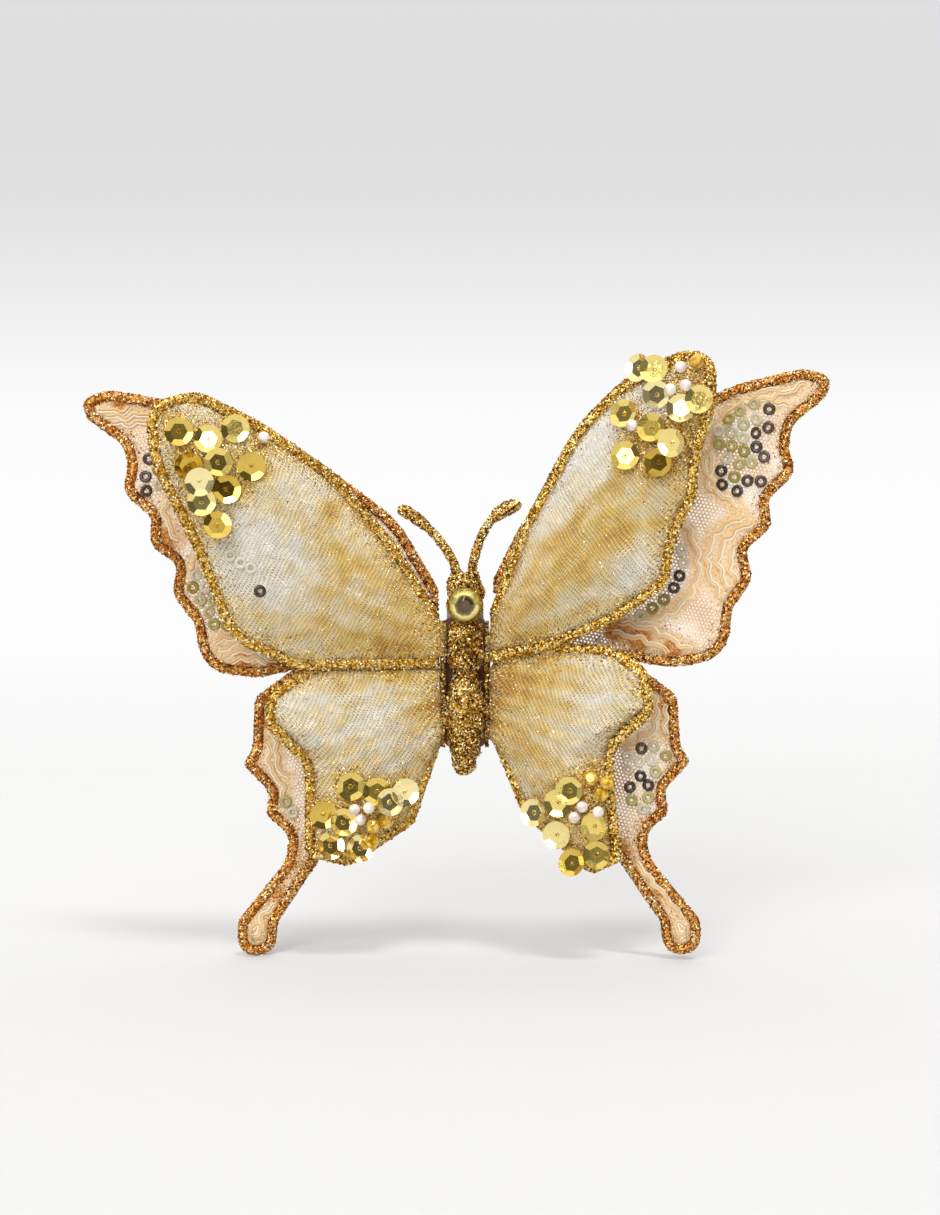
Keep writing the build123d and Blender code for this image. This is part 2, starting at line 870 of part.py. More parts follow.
for side_name, side in sides.items():
    trim = root_plane(side_name, back_fold_degrees)
    for wing_name, (shares, span, rise, lift, layer, ring_places) in back_wings.items():
        plane = wing_plane(side_name, back_fold_degrees, lift, layer)
        outer = wing_outline(shares, span, rise)
        inner = wing_outline(shares, span, rise, back_border_width)
        with BuildPart() as border:
            with BuildSketch(plane):
                draw_wing(side_name, outer)
                draw_wing(side_name, inner, Mode.SUBTRACT)
            extrude(amount=border_thickness / 2, both=True)
            split(bisect_by=trim, keep=Keep.TOP)
        save(border, f"{side_name}_back_{wing_name}_border")
        with BuildPart() as net:
            with BuildSketch(plane):
                draw_wing(side_name, inner)
            extrude(amount=net_thickness / 2, both=True)
            split(bisect_by=trim, keep=Keep.TOP)
        save(net, f"{side_name}_back_{wing_name}_net")
        with BuildPart() as rings:
            for u, v in ring_places[side_name]:
                seat = plane.offset(net_thickness / 2 + trim_gap)
                seat = seat.shift_origin(seat.from_local_coords((side * u * span, v * rise, 0)))
                add(ring_form.part.moved(seat.location))
        save(rings, f"{side_name}_back_{wing_name}_rings")

# Front layer: a puffed skin over a flat lining in a glittered border, trimmed with
# cup sequins, pearls and beads
front_wings = {
    "forewing": (
        front_forewing_shares,
        front_forewing_span,
        front_forewing_rise,
        front_forewing_lift_degrees,
        0,
        forewing_crown,
        forewing_centre_shares,
        forewing_trim_shares,
    ),
    "hindwing": (
        front_hindwing_shares,
        front_hindwing_span,
        front_hindwing_drop,
        hindwing_lift_degrees,
        1,
        hindwing_crown,
        hindwing_centre_shares,
        hindwing_trim_shares,
    ),
}

for side_name, side in sides.items():
    trim = root_plane(side_name, front_fold_degrees)
    for wing_name, (shares, span, rise, lift, layer, crown, centre_shares, trims) in front_wings.items():
        plane = wing_plane(side_name, front_fold_degrees, lift, layer)
        outer = wing_outline(shares[side_name], span, rise)
        inner = wing_outline(shares[side_name], span, rise, front_border_width)
        edge_inset = front_border_width + skin_edge_clearance
        edge = wing_outline(shares[side_name], span, rise, edge_inset)
        centre = Vector(centre_shares[0] * span, centre_shares[1] * rise)
        with BuildPart() as border:
            with BuildSketch(plane):
                draw_wing(side_name, outer)
                draw_wing(side_name, inner, Mode.SUBTRACT)
            extrude(amount=border_thickness / 2, both=True)
            split(bisect_by=trim, keep=Keep.TOP)
        save(border, f"{side_name}_front_{wing_name}_border")
        with BuildPart() as lining:
            with BuildSketch(plane.offset(-lining_drop)):
                draw_wing(side_name, inner)
            extrude(amount=-lining_thickness)
            split(bisect_by=trim, keep=Keep.TOP)
        save(lining, f"{side_name}_front_{wing_name}_lining")
        with BuildPart() as skin:
            for wall, mode in ((0, Mode.ADD), (skin_thickness, Mode.SUBTRACT)):
                rings = []
                for drawn_in, up in puff_shares:
                    ring = [centre + (point - centre) * drawn_in for point in edge]
                    height = up * crown - wall
                    rings.append([plane.from_local_coords((side * p.X, p.Y, height)) for p in ring])
                add(banded(rings), mode=mode)
        save(skin, f"{side_name}_front_{wing_name}_skin")
        laid = settle(trims[side_name], span, rise, centre, inner, crown)
        forms = {"sequin": sequin_form, "pearl": pearl_form, "bead": bead_form}
        for kind, form in forms.items():
            places = [(place, low) for laid_kind, place, low in laid if laid_kind == kind]
            if not places:
                continue
            with BuildPart() as trimming:
                for place, low in places:
                    seat = plane.offset(low)
                    seat = seat.shift_origin(seat.from_local_coords((side * place.X, place.Y, 0)))
                    add(form.part.moved(seat.location))
            save(trimming, f"{side_name}_front_{wing_name}_{kind}s")

# Root wires that the wings bend on, bound along the sides of the body
for side_name, side in sides.items():
    with BuildPart() as root_wire:
        with BuildSketch(Plane.XY.offset(root_wire_bottom)):
            with Locations((side * hinge_offset, -body_depth)):
                Circle(root_wire_radius)
        extrude(amount=root_wire_top - root_wire_bottom)
    save(root_wire, f"{side_name}_root_wire")
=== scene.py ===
import math

import bpy
import numpy as np
from mathutils.geometry import delaunay_2d_cdt
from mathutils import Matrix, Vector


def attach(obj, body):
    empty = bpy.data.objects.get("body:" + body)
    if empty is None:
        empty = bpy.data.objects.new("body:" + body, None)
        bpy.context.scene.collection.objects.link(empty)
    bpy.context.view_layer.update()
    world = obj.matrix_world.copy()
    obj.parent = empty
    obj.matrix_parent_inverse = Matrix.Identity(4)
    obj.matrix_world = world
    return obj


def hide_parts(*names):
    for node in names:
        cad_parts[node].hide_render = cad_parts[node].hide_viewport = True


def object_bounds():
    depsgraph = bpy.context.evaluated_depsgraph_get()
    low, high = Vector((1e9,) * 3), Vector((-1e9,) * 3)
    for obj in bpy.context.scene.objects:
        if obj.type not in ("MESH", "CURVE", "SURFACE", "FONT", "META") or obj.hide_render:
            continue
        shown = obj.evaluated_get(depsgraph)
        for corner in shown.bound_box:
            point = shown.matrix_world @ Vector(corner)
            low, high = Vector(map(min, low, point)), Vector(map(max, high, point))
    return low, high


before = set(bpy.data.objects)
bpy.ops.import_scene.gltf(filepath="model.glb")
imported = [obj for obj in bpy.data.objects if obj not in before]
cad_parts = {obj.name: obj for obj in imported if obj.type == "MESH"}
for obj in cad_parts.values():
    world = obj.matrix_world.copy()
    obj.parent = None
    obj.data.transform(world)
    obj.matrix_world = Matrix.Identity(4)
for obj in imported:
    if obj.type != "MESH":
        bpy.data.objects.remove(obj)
cad_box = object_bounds()

# Spring clip: two jaws stamped from plated steel strip on a riveted pin, glued to the felt, which
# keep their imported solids. The torsion spring is round wire wound three times round the pin, with
# a leg against each jaw's tab.
MM = 0.001
PIN_RISE = 11.0
SPRING_WIRE = 0.3
SPRING_COIL = 1.4
SPRING_PITCH = 1.05
SPRING_TURNS = 3
SPRING_LEGS = (5.2, 5.6)
SPRING_LEANS = (0.0868, 0.179)


def dye(red, green, blue):
    """A colour as it looks on a screen, 0 to 255, in the linear values that a shader takes."""
    share = np.array([red, green, blue]) / 255
    linear = np.where(share <= 0.04045, share / 12.92, ((share + 0.055) / 1.055) ** 2.4)
    return (*linear.tolist(), 1.0)


def feed(tree, shader, inputs):
    """Sets a shader node's inputs, each to a value or to another node's socket."""
    for name, value in inputs.items():
        if isinstance(value, bpy.types.NodeSocket):
            tree.links.new(value, shader.inputs[name])
        else:
            shader.inputs[name].default_value = value


def put(tree, kind, inputs=None, **settings):
    """Adds a shader node with its settings made and its inputs fed."""
    made = tree.nodes.new("ShaderNode" + kind)
    for name, value in settings.items():
        setattr(made, name, value)
    feed(tree, made, inputs or {})
    return made


def calc(tree, operation, *values):
    """One step of arithmetic on numbers or sockets."""
    return put(tree, "Math", dict(enumerate(values)), operation=operation).outputs[0]


def tint(tree, factor, *stops):
    """A colour read from a factor along a row of stops, each its place and then its dye."""
    ramp = put(tree, "ValToRGB", {"Fac": factor})
    scale = ramp.color_ramp.elements
    for end in (0, -1):
        place, *colour = stops[end]
        scale[end].position, scale[end].color = place, dye(*colour)
    for place, *colour in stops[1:-1]:
        scale.new(place).color = dye(*colour)
    return ramp.outputs["Color"]


def spread(tree, value, low, high, start=0.0, end=1.0):
    """A value's run from start to end taken to low to high, and held beyond it."""
    run = {"Value": value, "From Min": start, "From Max": end, "To Min": low, "To Max": high}
    return put(tree, "MapRange", run).outputs[0]


def noise(tree, place, scale, detail=2.0, **more):
    """Cloudy noise over a place, mostly from 0.3 to 0.7."""
    return put(tree, "TexNoise", {"Vector": place, "Scale": scale, "Detail": detail, **more}).outputs[0]


def bumped(tree, height, strength, distance):
    """The surface's normal under a relief."""
    return put(tree, "Bump", {"Height": height, "Strength": strength, "Distance": distance}).outputs[0]


def new_finish(name, **inputs):
    """A material with its shader's plain values set, and its tree, shader and place on the piece."""
    finish = bpy.data.materials.new(name)
    finish.use_nodes = True
    tree = finish.node_tree
    shader = tree.nodes["Principled BSDF"]
    feed(tree, shader, {key.replace("_", " "): value for key, value in inputs.items()})
    return finish, tree, shader, put(tree, "TexCoord").outputs["Object"]


def as_triangles(quads):
    """Each four-cornered face cut into two."""
    return np.concatenate([quads[:, [0, 1, 2]], quads[:, [0, 2, 3]]])


def weld(points, triangles):
    """Points at one place made one, and triangles with no area left out."""
    _, first, same = np.unique(points.round(5), axis=0, return_index=True, return_inverse=True)
    triangles = same.reshape(-1)[triangles]
    a, b, c = triangles.T
    triangles = triangles[(a != b) & (b != c) & (c != a)]
    used, triangles = np.unique(triangles, return_inverse=True)
    return points[first[used]], triangles.reshape(-1, 3)


def loop_surface(rings):
    """Joins rows of points, each a closed ring, into a surface, with its end rings drawn shut."""
    ends = [np.broadcast_to(ring.mean(0), ring.shape) for ring in (rings[0], rings[-1])]
    rings = np.concatenate([ends[:1], rings, ends[1:]])
    rows, columns = rings.shape[:2]
    row, column = np.arange(rows - 1)[:, None], np.arange(columns)[None, :]
    here, beside = row * columns + column, row * columns + (column + 1) % columns
    quads = np.stack([here, beside, beside + columns, here + columns], -1).reshape(-1, 4)
    return weld(rings.reshape(-1, 3), as_triangles(quads))


def unit(vectors):
    """Vectors at length one."""
    return vectors / np.linalg.norm(vectors, axis=-1, keepdims=True)


def tube(path, radius, sides, across=(0.0, 1.0, 0.0), flat=1.0):
    """A tube along a path. At each point its ring is radius * (cos t * n + flat * sin t * m), where
    m is square to the path and to n, and n is square to the path and to the direction across."""
    heading = unit(np.gradient(path, axis=0))
    broad = unit(np.cross(across, heading))
    rise = np.cross(heading, broad)
    turn = np.linspace(0, math.tau, sides, endpoint=False)[None, :, None]
    radius = np.broadcast_to(radius, len(path))[:, None, None]
    ring = np.cos(turn) * broad[:, None] + flat * np.sin(turn) * rise[:, None]
    return loop_surface(path[:, None] + radius * ring)


def make_piece(name, points, faces, finish, body, slot, faceted=None, **marks):
    """Makes a mesh from points in millimetres and the corners of its faces, gives it its finish
    and hangs it on a body. faceted picks the faces left flat; marks are values kept per point."""
    mesh = bpy.data.meshes.new(name)
    mesh.from_pydata((points * MM).tolist(), [], faces.tolist())
    smooth = np.ones(len(faces), bool) if faceted is None else ~np.broadcast_to(faceted, len(faces))
    mesh.polygons.foreach_set("use_smooth", smooth)
    for mark, values in marks.items():
        kind, key = ("FLOAT", "value") if values.ndim == 1 else ("FLOAT_VECTOR", "vector")
        kept = mesh.attributes.new(mark, kind, "POINT")
        kept.data.foreach_set(key, values.astype(np.float32).ravel())
    mesh.materials.append(finish)
    piece = bpy.data.objects.new(name, mesh)
    bpy.context.scene.collection.objects.link(piece)
    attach(piece, body)
    return piece


def make_clip_steel():
    """Nickel-plated steel: bright and slightly warm, with long fine scratches along one way, and
    duller where it has been rubbed."""
    finish, tree, shader, place = new_finish("clip_steel", Metallic=1.0)
    stretched = put(tree, "Mapping", {"Vector": place, "Scale": (0.08, 1.0, 1.0)}).outputs[0]
    rub = noise(tree, place, 260.0)
    colour = tint(tree, rub, (0.3, 150, 147, 142), (0.7, 206, 203, 196))
    scratches = bumped(tree, noise(tree, stretched, 9000.0, 3.0), 0.25, 0.0001)
    rough = spread(tree, rub, 0.42, 0.24)
    feed(tree, shader, {"Base Color": colour, "Roughness": rough, "Normal": scratches})
    return finish


def dress(node, finish):
    """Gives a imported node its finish."""
    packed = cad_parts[node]
    packed.material_slots[0].material = finish


clip_steel = make_clip_steel()
for node in ("clip_base", "clip_lever", "clip_pin"):
    dress(node, clip_steel)

spring_start = math.pi + SPRING_LEANS[0]
spring_sweep = math.tau * SPRING_TURNS + math.pi - sum(SPRING_LEANS)
spring_angle = spring_start + np.linspace(0, spring_sweep, 180)
spring_along = SPRING_PITCH * (spring_angle - spring_start - spring_sweep / 2) / math.tau
spring_rise = PIN_RISE + SPRING_COIL * np.sin(spring_angle)
spring_coil = np.column_stack([spring_along, SPRING_COIL * np.cos(spring_angle), spring_rise])
leg_steps = np.linspace(0, 1, 12)[1:, None]
first_heading = unit(spring_coil[1] - spring_coil[0])
last_heading = unit(spring_coil[-1] - spring_coil[-2])
first_leg = spring_coil[0] - first_heading * SPRING_LEGS[0] * leg_steps[::-1]
last_leg = spring_coil[-1] + last_heading * SPRING_LEGS[1] * leg_steps
spring_form = tube(np.concatenate([first_leg, spring_coil, last_leg]), SPRING_WIRE, 12, (1.0, 0.0, 0.0))
spring = make_piece("clip_spring_wire", *spring_form, clip_steel, "body", "clip_steel")
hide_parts("clip_spring")

# Felt pad: a rounded slip of brown craft felt, glued between the clip and the body, with the
# wing roots caught under it. Its faces are soft and its edge is fuzzy.
PAD_HALF_WIDTH = 5.5
PAD_LOW, PAD_HIGH = -13.0, 16.0
PAD_BACK, PAD_FRONT = -2.8, -4.4
PAD_SQUARENESS = 5.0


def lumps(points, size, seed):
    """Smooth unevenness from -1 to 1 at points: the mean of sines along nine random directions
    whose waves are about size long."""
    rng = np.random.default_rng(seed)
    ways = unit(rng.normal(size=(9, points.shape[1]))) * math.tau / size
    ways *= rng.uniform(0.7, 1.5, (9, 1))
    waves = np.sin(points @ ways.T + rng.uniform(0, math.tau, 9))
    return np.clip(waves.sum(1) / 3.2, -1, 1)


def pad_surface():
    """A cushion on a superellipse |x/a|^5 + |z/b|^5 = 1 whose thickness swells as sin t, where t
    goes from its front pole over the edge to its back pole."""
    tilt = np.linspace(0, math.pi, 34)[1:-1, None]
    turn = np.linspace(0, math.tau, 96, endpoint=False)[None, :]
    corner = np.abs(np.cos(turn)) ** PAD_SQUARENESS + np.abs(np.sin(turn)) ** PAD_SQUARENESS
    stretch = corner ** (-1 / PAD_SQUARENESS)
    out = np.sin(tilt) ** 0.35
    half_depth = (PAD_BACK - PAD_FRONT) / 2
    depth = (PAD_BACK + PAD_FRONT) / 2 - half_depth * np.sign(np.cos(tilt)) * np.abs(np.cos(tilt)) ** 0.5
    across = PAD_HALF_WIDTH * out * stretch * np.cos(turn)
    up = (PAD_HIGH + PAD_LOW) / 2 + (PAD_HIGH - PAD_LOW) / 2 * out * stretch * np.sin(turn)
    rings = np.stack([across, np.broadcast_to(depth, across.shape), up], -1)
    fuzz = lumps(rings.reshape(-1, 3), 1.1, 3).reshape(across.shape)
    rings[..., 0] *= 1 + 0.012 * fuzz
    rings[..., 2] += 0.06 * fuzz
    return loop_surface(rings)


def make_felt():
    """Pressed wool: matted fibres in two browns, with a soft sheen."""
    finish, tree, shader, place = new_finish("felt", Roughness=0.95, Sheen_Weight=0.4, Sheen_Roughness=0.5)
    mat = noise(tree, place, 5200.0, 4.0, Distortion=1.2)
    mixed = calc(tree, "MULTIPLY_ADD", mat, 0.6, calc(tree, "MULTIPLY", noise(tree, place, 420.0), 0.4))
    colour = tint(tree, mixed, (0.35, 84, 54, 32), (0.5, 120, 82, 50), (0.66, 150, 110, 72))
    feed(tree, shader, {"Base Color": colour, "Normal": bumped(tree, mat, 0.7, 0.0003)})
    return finish


pad = make_piece("felt_pad", *pad_surface(), make_felt(), "body", "felt")
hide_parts("back_pad")

# Wires: the spine wire inside the body, and at each side of it a root wire that the wings bend
# on, bound in tape and run over with glitter glue, painted dark as shade in the gap between the body
# and the wings.
ROOT_WIRE_PLACES = {"left": -4.75, "right": 4.75}
ROOT_WIRE_LOW, ROOT_WIRE_HIGH = -12.0, 15.2
ROOT_WIRE_FLAKES = 1000
BODY_DEPTH = 8.3
FLAKE_RIM = 0.27
FLAKE_THICKNESS = 0.07
FLAKE_CORNERS = 5
# Foils of the root wires' glitter, dark as painted shade of the gap between body and wings
DARK_FOILS = [(0.0, 64, 34, 8), (0.36, 130, 80, 16), (0.56, 206, 148, 48), (0.78, 248, 212, 116),
              (1.0, 255, 246, 210)]


def foil_flakes(points, triangles, count, seed, rim=FLAKE_RIM, chance=None):
    """Cut foil strewn over a surface: five-cornered flakes, each two shallow points back to back
    (corners at rim * (cos, sin), points at half the thickness), lying on the surface with a lean.
    Returns their points, triangles and the place of each."""
    rng = np.random.default_rng(seed)
    a, b, c = points[triangles].transpose(1, 0, 2)
    square = np.cross(b - a, c - a)
    weight = np.linalg.norm(square, axis=1) * (1 if chance is None else chance)
    pick = rng.choice(len(triangles), count, p=weight / weight.sum())
    first, second = rng.random((2, count, 1))
    over = first + second > 1
    first, second = np.where(over, 1 - first, first), np.where(over, 1 - second, second)
    place = a[pick] + first * (b - a)[pick] + second * (c - a)[pick]
    facing = unit(unit(square[pick]) + rng.normal(scale=0.42, size=(count, 3)))
    along = unit(np.cross(facing, rng.normal(size=(count, 3))))
    beside = np.cross(facing, along)
    ring = np.arange(FLAKE_CORNERS)
    turn = ring * math.tau / FLAKE_CORNERS
    reach = rim * rng.uniform(0.6, 1.35, (count, 1, 1))
    corners = np.cos(turn)[:, None] * along[:, None] + np.sin(turn)[:, None] * beside[:, None]
    tips = facing[:, None] * np.array([0.5, -0.5])[:, None] * FLAKE_THICKNESS
    flakes = place[:, None] + np.concatenate([corners * reach, tips], 1)
    after, tip = (ring + 1) % FLAKE_CORNERS, np.full(FLAKE_CORNERS, FLAKE_CORNERS)
    faces = np.concatenate([np.stack([ring, after, tip], 1), np.stack([after, ring, tip + 1], 1)])
    faces = faces[None] + (FLAKE_CORNERS + 2) * np.arange(count)[:, None, None]
    return flakes.reshape(-1, 3), faces.reshape(-1, 3), place


def flake_marks(shade):
    """The mark foil of flakes, 0.02 to 1 from dark to pale, at every point of each."""
    return np.repeat(np.clip(shade, 0.02, 1), FLAKE_CORNERS + 2)


def glittered(name, points, triangles, finish, body, slot, count, seed, tone=0.0):
    """A surface in glue with foil flakes on it, as one piece. The mark foil is 0 on the glue, and
    on the flakes it is random and drifts in patches."""
    flakes, faces, places = foil_flakes(points, triangles, count, seed)
    rng = np.random.default_rng(seed + 1)
    shade = 0.5 + tone + 0.42 * rng.normal(size=count) + 0.1 * lumps(places, 7.0, seed)
    foil = np.concatenate([np.zeros(len(points)), flake_marks(shade)])
    corners = np.concatenate([triangles, faces + len(points)])
    on_flakes = np.arange(len(corners)) >= len(triangles)
    every = np.concatenate([points, flakes])
    return make_piece(name, every, corners, finish, body, slot, faceted=on_flakes, foil=foil)


def vector_calc(tree, operation, *values, output="Vector"):
    """One step of arithmetic on vectors or sockets."""
    return put(tree, "VectorMath", dict(enumerate(values)), operation=operation).outputs[output]


def marked(tree, mark, output="Fac"):
    """A mark kept on the piece's points."""
    return put(tree, "Attribute", attribute_name=mark).outputs[output]


def blend(tree, factor, first, second):
    """Two colours mixed by a factor."""
    mixed = put(tree, "Mix", {"Factor": factor, "A": first, "B": second}, data_type="RGBA")
    return mixed.outputs["Result"]


def make_foil_grain():
    """Shader group: for each grain of glitter, a random tone and a normal that leans at random."""
    group = bpy.data.node_groups.new("foil_grain", "ShaderNodeTree")
    for name, kind in (("Vector", "Vector"), ("Grains", "Float"), ("Lean", "Float")):
        group.interface.new_socket(name, in_out="INPUT", socket_type="NodeSocket" + kind)
    for name, kind in (("Tone", "Float"), ("Normal", "Vector")):
        group.interface.new_socket(name, in_out="OUTPUT", socket_type="NodeSocket" + kind)
    given, out = group.nodes.new("NodeGroupInput").outputs, group.nodes.new("NodeGroupOutput")
    grains = put(group, "TexVoronoi", {"Vector": given["Vector"], "Scale": given["Grains"]}).outputs["Color"]
    centred = vector_calc(group, "SUBTRACT", grains, (0.5, 0.5, 0.5))
    lean = vector_calc(group, "MULTIPLY", centred, given["Lean"])
    leaning = vector_calc(group, "ADD", put(group, "NewGeometry").outputs["Normal"], lean)
    tone = put(group, "SeparateColor", {"Color": grains}).outputs[0]
    feed(group, out, {"Tone": tone, "Normal": vector_calc(group, "NORMALIZE", leaning)})
    return group


foil_grain = make_foil_grain()


def make_glitter(name, foils, glue):
    """Glitter: foil flakes in a row of colours over glue in which finer grains lie."""
    finish, tree, shader, place = new_finish(name, Metallic=0.82)
    grain = put(tree, "Group", node_tree=foil_grain)
    feed(tree, grain, {"Vector": place, "Grains": 3600.0, "Lean": 0.9})
    tone, foil = grain.outputs["Tone"], marked(tree, "foil")
    pooled = calc(tree, "MULTIPLY", noise(tree, place, 300.0), 0.25)
    shade = calc(tree, "MULTIPLY_ADD", tone, 0.75, pooled)
    glue_colour = tint(tree, shade, (0.15, *glue), *((0.3 + 0.7 * at, *colour) for at, *colour in foils[1:]))
    colour = blend(tree, calc(tree, "GREATER_THAN", foil, 0.01), glue_colour, tint(tree, foil, *foils))
    rough = spread(tree, tone, 0.22, 0.5)
    feed(tree, shader, {"Base Color": colour, "Roughness": rough, "Normal": grain.outputs["Normal"]})
    return finish


shade_dark_glitter = make_glitter("shade_dark_glitter", DARK_FOILS, (72, 38, 14))
dress("spine_wire", clip_steel)
for number, (side, across) in enumerate(ROOT_WIRE_PLACES.items()):
    height = np.linspace(ROOT_WIRE_LOW, ROOT_WIRE_HIGH, 90)
    line = np.stack([np.full(90, across), np.full(90, -BODY_DEPTH), height], 1)
    bound = tube(line, 0.38 + 0.12 * lumps(line, 3.4, 20 + number), 14)
    # The root wires' flakes are darkened a little more, as painted shade
    wire = glittered(side + "_bound_wire", *bound, shade_dark_glitter, "body", "bound_wire", ROOT_WIRE_FLAKES,
                     30 + number, tone=-0.06)
    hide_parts(side + "_root_wire")

# Back wings: a wired outline buried in copper and gold glitter holds tulle stretched flat,
# with machine embroidery in satin stitch and ring sequins. Forewing and hindwing are separate.
WINGS = [(side, wing) for side in ("left", "right") for wing in ("forewing", "hindwing")]
HINGE_PLACE = (4.75, -8.3, 6.4)
LAYER_PITCH = 1.45
BACK_FOLDS = {"left": 6.0, "right": 12.0}
BACK_LIFTS = {"forewing": {"left": 0.0, "right": 3.7}, "hindwing": {"left": 0.0, "right": 1.6}}
BACK_LAYERS = {"forewing": 2, "hindwing": 3}
BORDER_THICKNESS = 1.1
BORDER_PITCH = 0.6
BACK_BORDER_WIDTH = 2.2
BACK_BORDER_FLAKES = {"forewing": 5400, "hindwing": 4400}
NET_THICKNESS = 0.14
NET_PITCH = 1.1
COPPER_DUST = 4200
DUST_RIM = 0.2
COPPER_FOILS = [(0.0, 104, 46, 6), (0.32, 176, 98, 20), (0.5, 236, 160, 60), (0.68, 255, 212, 126),
                (1.0, 255, 246, 212)]

# Satin-stitched lines: places along the span and up the wing
SATIN_LINES = {
    ("right", "forewing"): [
        [(53.9, 56.4), (56.5, 54.3), (59.2, 53.7), (61.8, 53.7), (66.0, 54.5), (70.3, 56.3)],
        [(52.9, 55.0), (56.4, 52.9), (60.0, 52.2), (63.4, 52.6), (67.2, 53.3), (71.5, 54.9)],
        [(55.2, 57.8), (58.1, 55.9), (61.9, 55.2), (65.7, 56.2), (69.6, 57.8)],
        [(57.8, 57.9), (61.1, 57.0), (64.5, 57.5), (68.4, 58.2)],
        [(67.9, 51.2), (62.8, 53.0), (57.5, 52.6), (54.1, 49.7), (51.3, 44.6), (50.3, 39.3), (50.5, 35.1),
         (53.1, 31.7), (56.2, 30.1)],
        [(49.1, 43.7), (49.1, 39.4), (49.3, 36.2), (50.4, 33.6)],
        [(57.1, 28.3), (52.1, 26.5), (49.4, 23.5), (48.1, 19.3), (48.9, 15.0), (51.2, 10.6), (53.2, 8.0)],
        [(58.5, 26.7), (54.4, 25.3), (51.9, 22.7), (50.6, 19.2), (51.3, 15.3), (53.4, 11.8)],
        [(59.5, 25.0), (56.2, 23.7), (54.0, 21.3), (53.0, 18.6), (53.6, 15.6), (55.4, 12.5)],
        [(60.0, 22.8), (57.8, 21.9), (55.8, 19.9), (55.0, 17.8), (55.7, 15.3)],
        [(43.3, 28.1), (45.2, 24.8), (46.7, 20.5), (46.2, 15.6), (44.0, 11.7), (40.4, 8.7), (33.4, 6.9)],
        [(29.0, 6.5), (35.4, 5.1), (39.6, 2.7), (43.7, -0.1)],
        [(27.2, 4.7), (33.1, 3.1), (37.8, 0.7), (41.0, -1.2)],
    ],
    ("right", "hindwing"): [
        [(37.2, -6.0), (35.4, -10.0), (35.8, -14.5), (33.4, -17.0), (29.5, -19.0)],
        [(38.8, -8.0), (37.4, -12.0), (37.8, -16.5)],
        [(31.0, -44.5), (33.5, -48.0), (37.5, -52.0), (40.5, -56.5)],
        [(29.6, -45.8), (32.5, -49.6), (36.4, -53.8), (38.0, -58.6)],
        [(38.6, -61.6), (41.6, -61.8), (43.0, -59.4), (41.4, -57.0), (39.0, -57.6), (39.2, -60.0),
         (41.0, -60.0)],
    ],
    ("left", "hindwing"): [
        [(39.0, -16.0), (36.6, -19.4), (37.6, -22.8), (35.0, -25.6), (33.6, -30.0), (34.4, -34.0)],
        [(37.4, -14.6), (35.2, -18.2), (36.0, -22.0), (33.4, -25.0)],
        [(38.0, -52.0), (41.0, -54.8), (40.6, -57.6)],
        [(36.4, -53.2), (39.4, -56.4), (39.0, -59.0)],
        [(38.8, -61.8), (41.8, -62.0), (43.2, -59.6), (41.8, -57.2), (39.4, -57.8), (39.4, -60.2),
         (41.2, -60.2)],
    ],
    ("left", "forewing"): [
        [(73.3, 56.2), (69.8, 56.1), (66.6, 55.9), (62.4, 56.8), (59.2, 57.4)],
        [(73.4, 54.6), (70.8, 54.2), (68.7, 54.2), (64.9, 55.1), (61.3, 56.0)],
        [(71.9, 53.1), (67.7, 53.0), (62.8, 53.6), (59.0, 54.6)],
        [(70.4, 51.7), (66.2, 51.6), (61.5, 52.0), (57.5, 52.8)],
        [(58.7, 35.1), (59.4, 31.9), (58.3, 29.1), (56.7, 26.6)],
        [(55.2, 19.1), (53.7, 21.2), (52.0, 23.3)],
        [(47.9, 3.0), (45.3, 4.0), (42.5, 5.1), (38.8, 3.3), (33.9, 0.3)],
        [(47.0, 1.4), (44.0, 2.7), (41.4, 3.1), (38.0, 1.6), (35.0, -0.4)],
        [(46.2, -0.1), (43.1, 1.2), (40.6, 1.2), (37.6, -0.1)],
        [(49.1, 4.5), (46.1, 5.7), (42.3, 6.8), (38.0, 5.5), (33.3, 2.9)],
    ],
}
SATIN_RADIUS = 0.36
SATIN_FILL_REACH = 1.5
SATIN_WAVE = 4.6
SATIN_RISE = 0.18
# The two cords of each line: how far beside it, thickness and paleness; the paler thin cord is a painted
# highlight
SATIN_CORDS = [(0.0, SATIN_RADIUS, 0.3), (0.6, 0.6 * SATIN_RADIUS, 0.75)]

# Pools of copper glitter on the nets: middle along and up, and how far each spreads
COPPER_POOLS = {
    ("right", "forewing"): [(64.0, 26.5, 2.6), (59.0, 16.5, 2.4), (60.5, 21.0, 2.0), (33.0, 3.2, 3.4),
                            (40.0, 0.6, 2.6), (57.0, 9.0, 2.0), (28.0, 5.4, 3.0)],
    ("left", "forewing"): [(60.0, 55.8, 3.4), (56.0, 53.0, 3.2), (69.0, 55.5, 1.6), (60.0, 26.5, 3.2),
                           (43.0, 0.4, 2.2), (36.0, -0.2, 2.4)],
    ("right", "hindwing"): [(38.6, -10.0, 2.4), (36.0, -50.5, 1.8), (28.0, -42.0, 2.0)],
    ("left", "hindwing"): [(39.4, -13.0, 2.0), (36.0, -50.5, 2.0), (32.4, -44.5, 1.6)],
}

# Dark ring sequins: place along and up of each; every other ring is clear or olive
DARK_RINGS = {
    ("right", "forewing"): [(63.7, 50.5), (63.3, 46.6), (60.7, 45.6), (60.5, 42.7), (62.1, 40.4),
                            (58.2, 35.6), (61.0, 35.3), (56.0, 33.6), (52.8, 38.1), (52.9, 35.2),
                            (42.6, 16.2), (41.2, 13.8)],
    ("left", "forewing"): [(62.8, 43.8), (63.5, 40.0), (63.5, 37.0)],
    ("right", "hindwing"): [(32.7, -19.4), (32.3, -25.4), (34.0, -27.4), (29.9, -27.8)],
    ("left", "hindwing"): [],
}
DARK_RING_REACH = 1.0
RING_RADIUS = 0.92
RING_HALF_WIDTH = 0.42


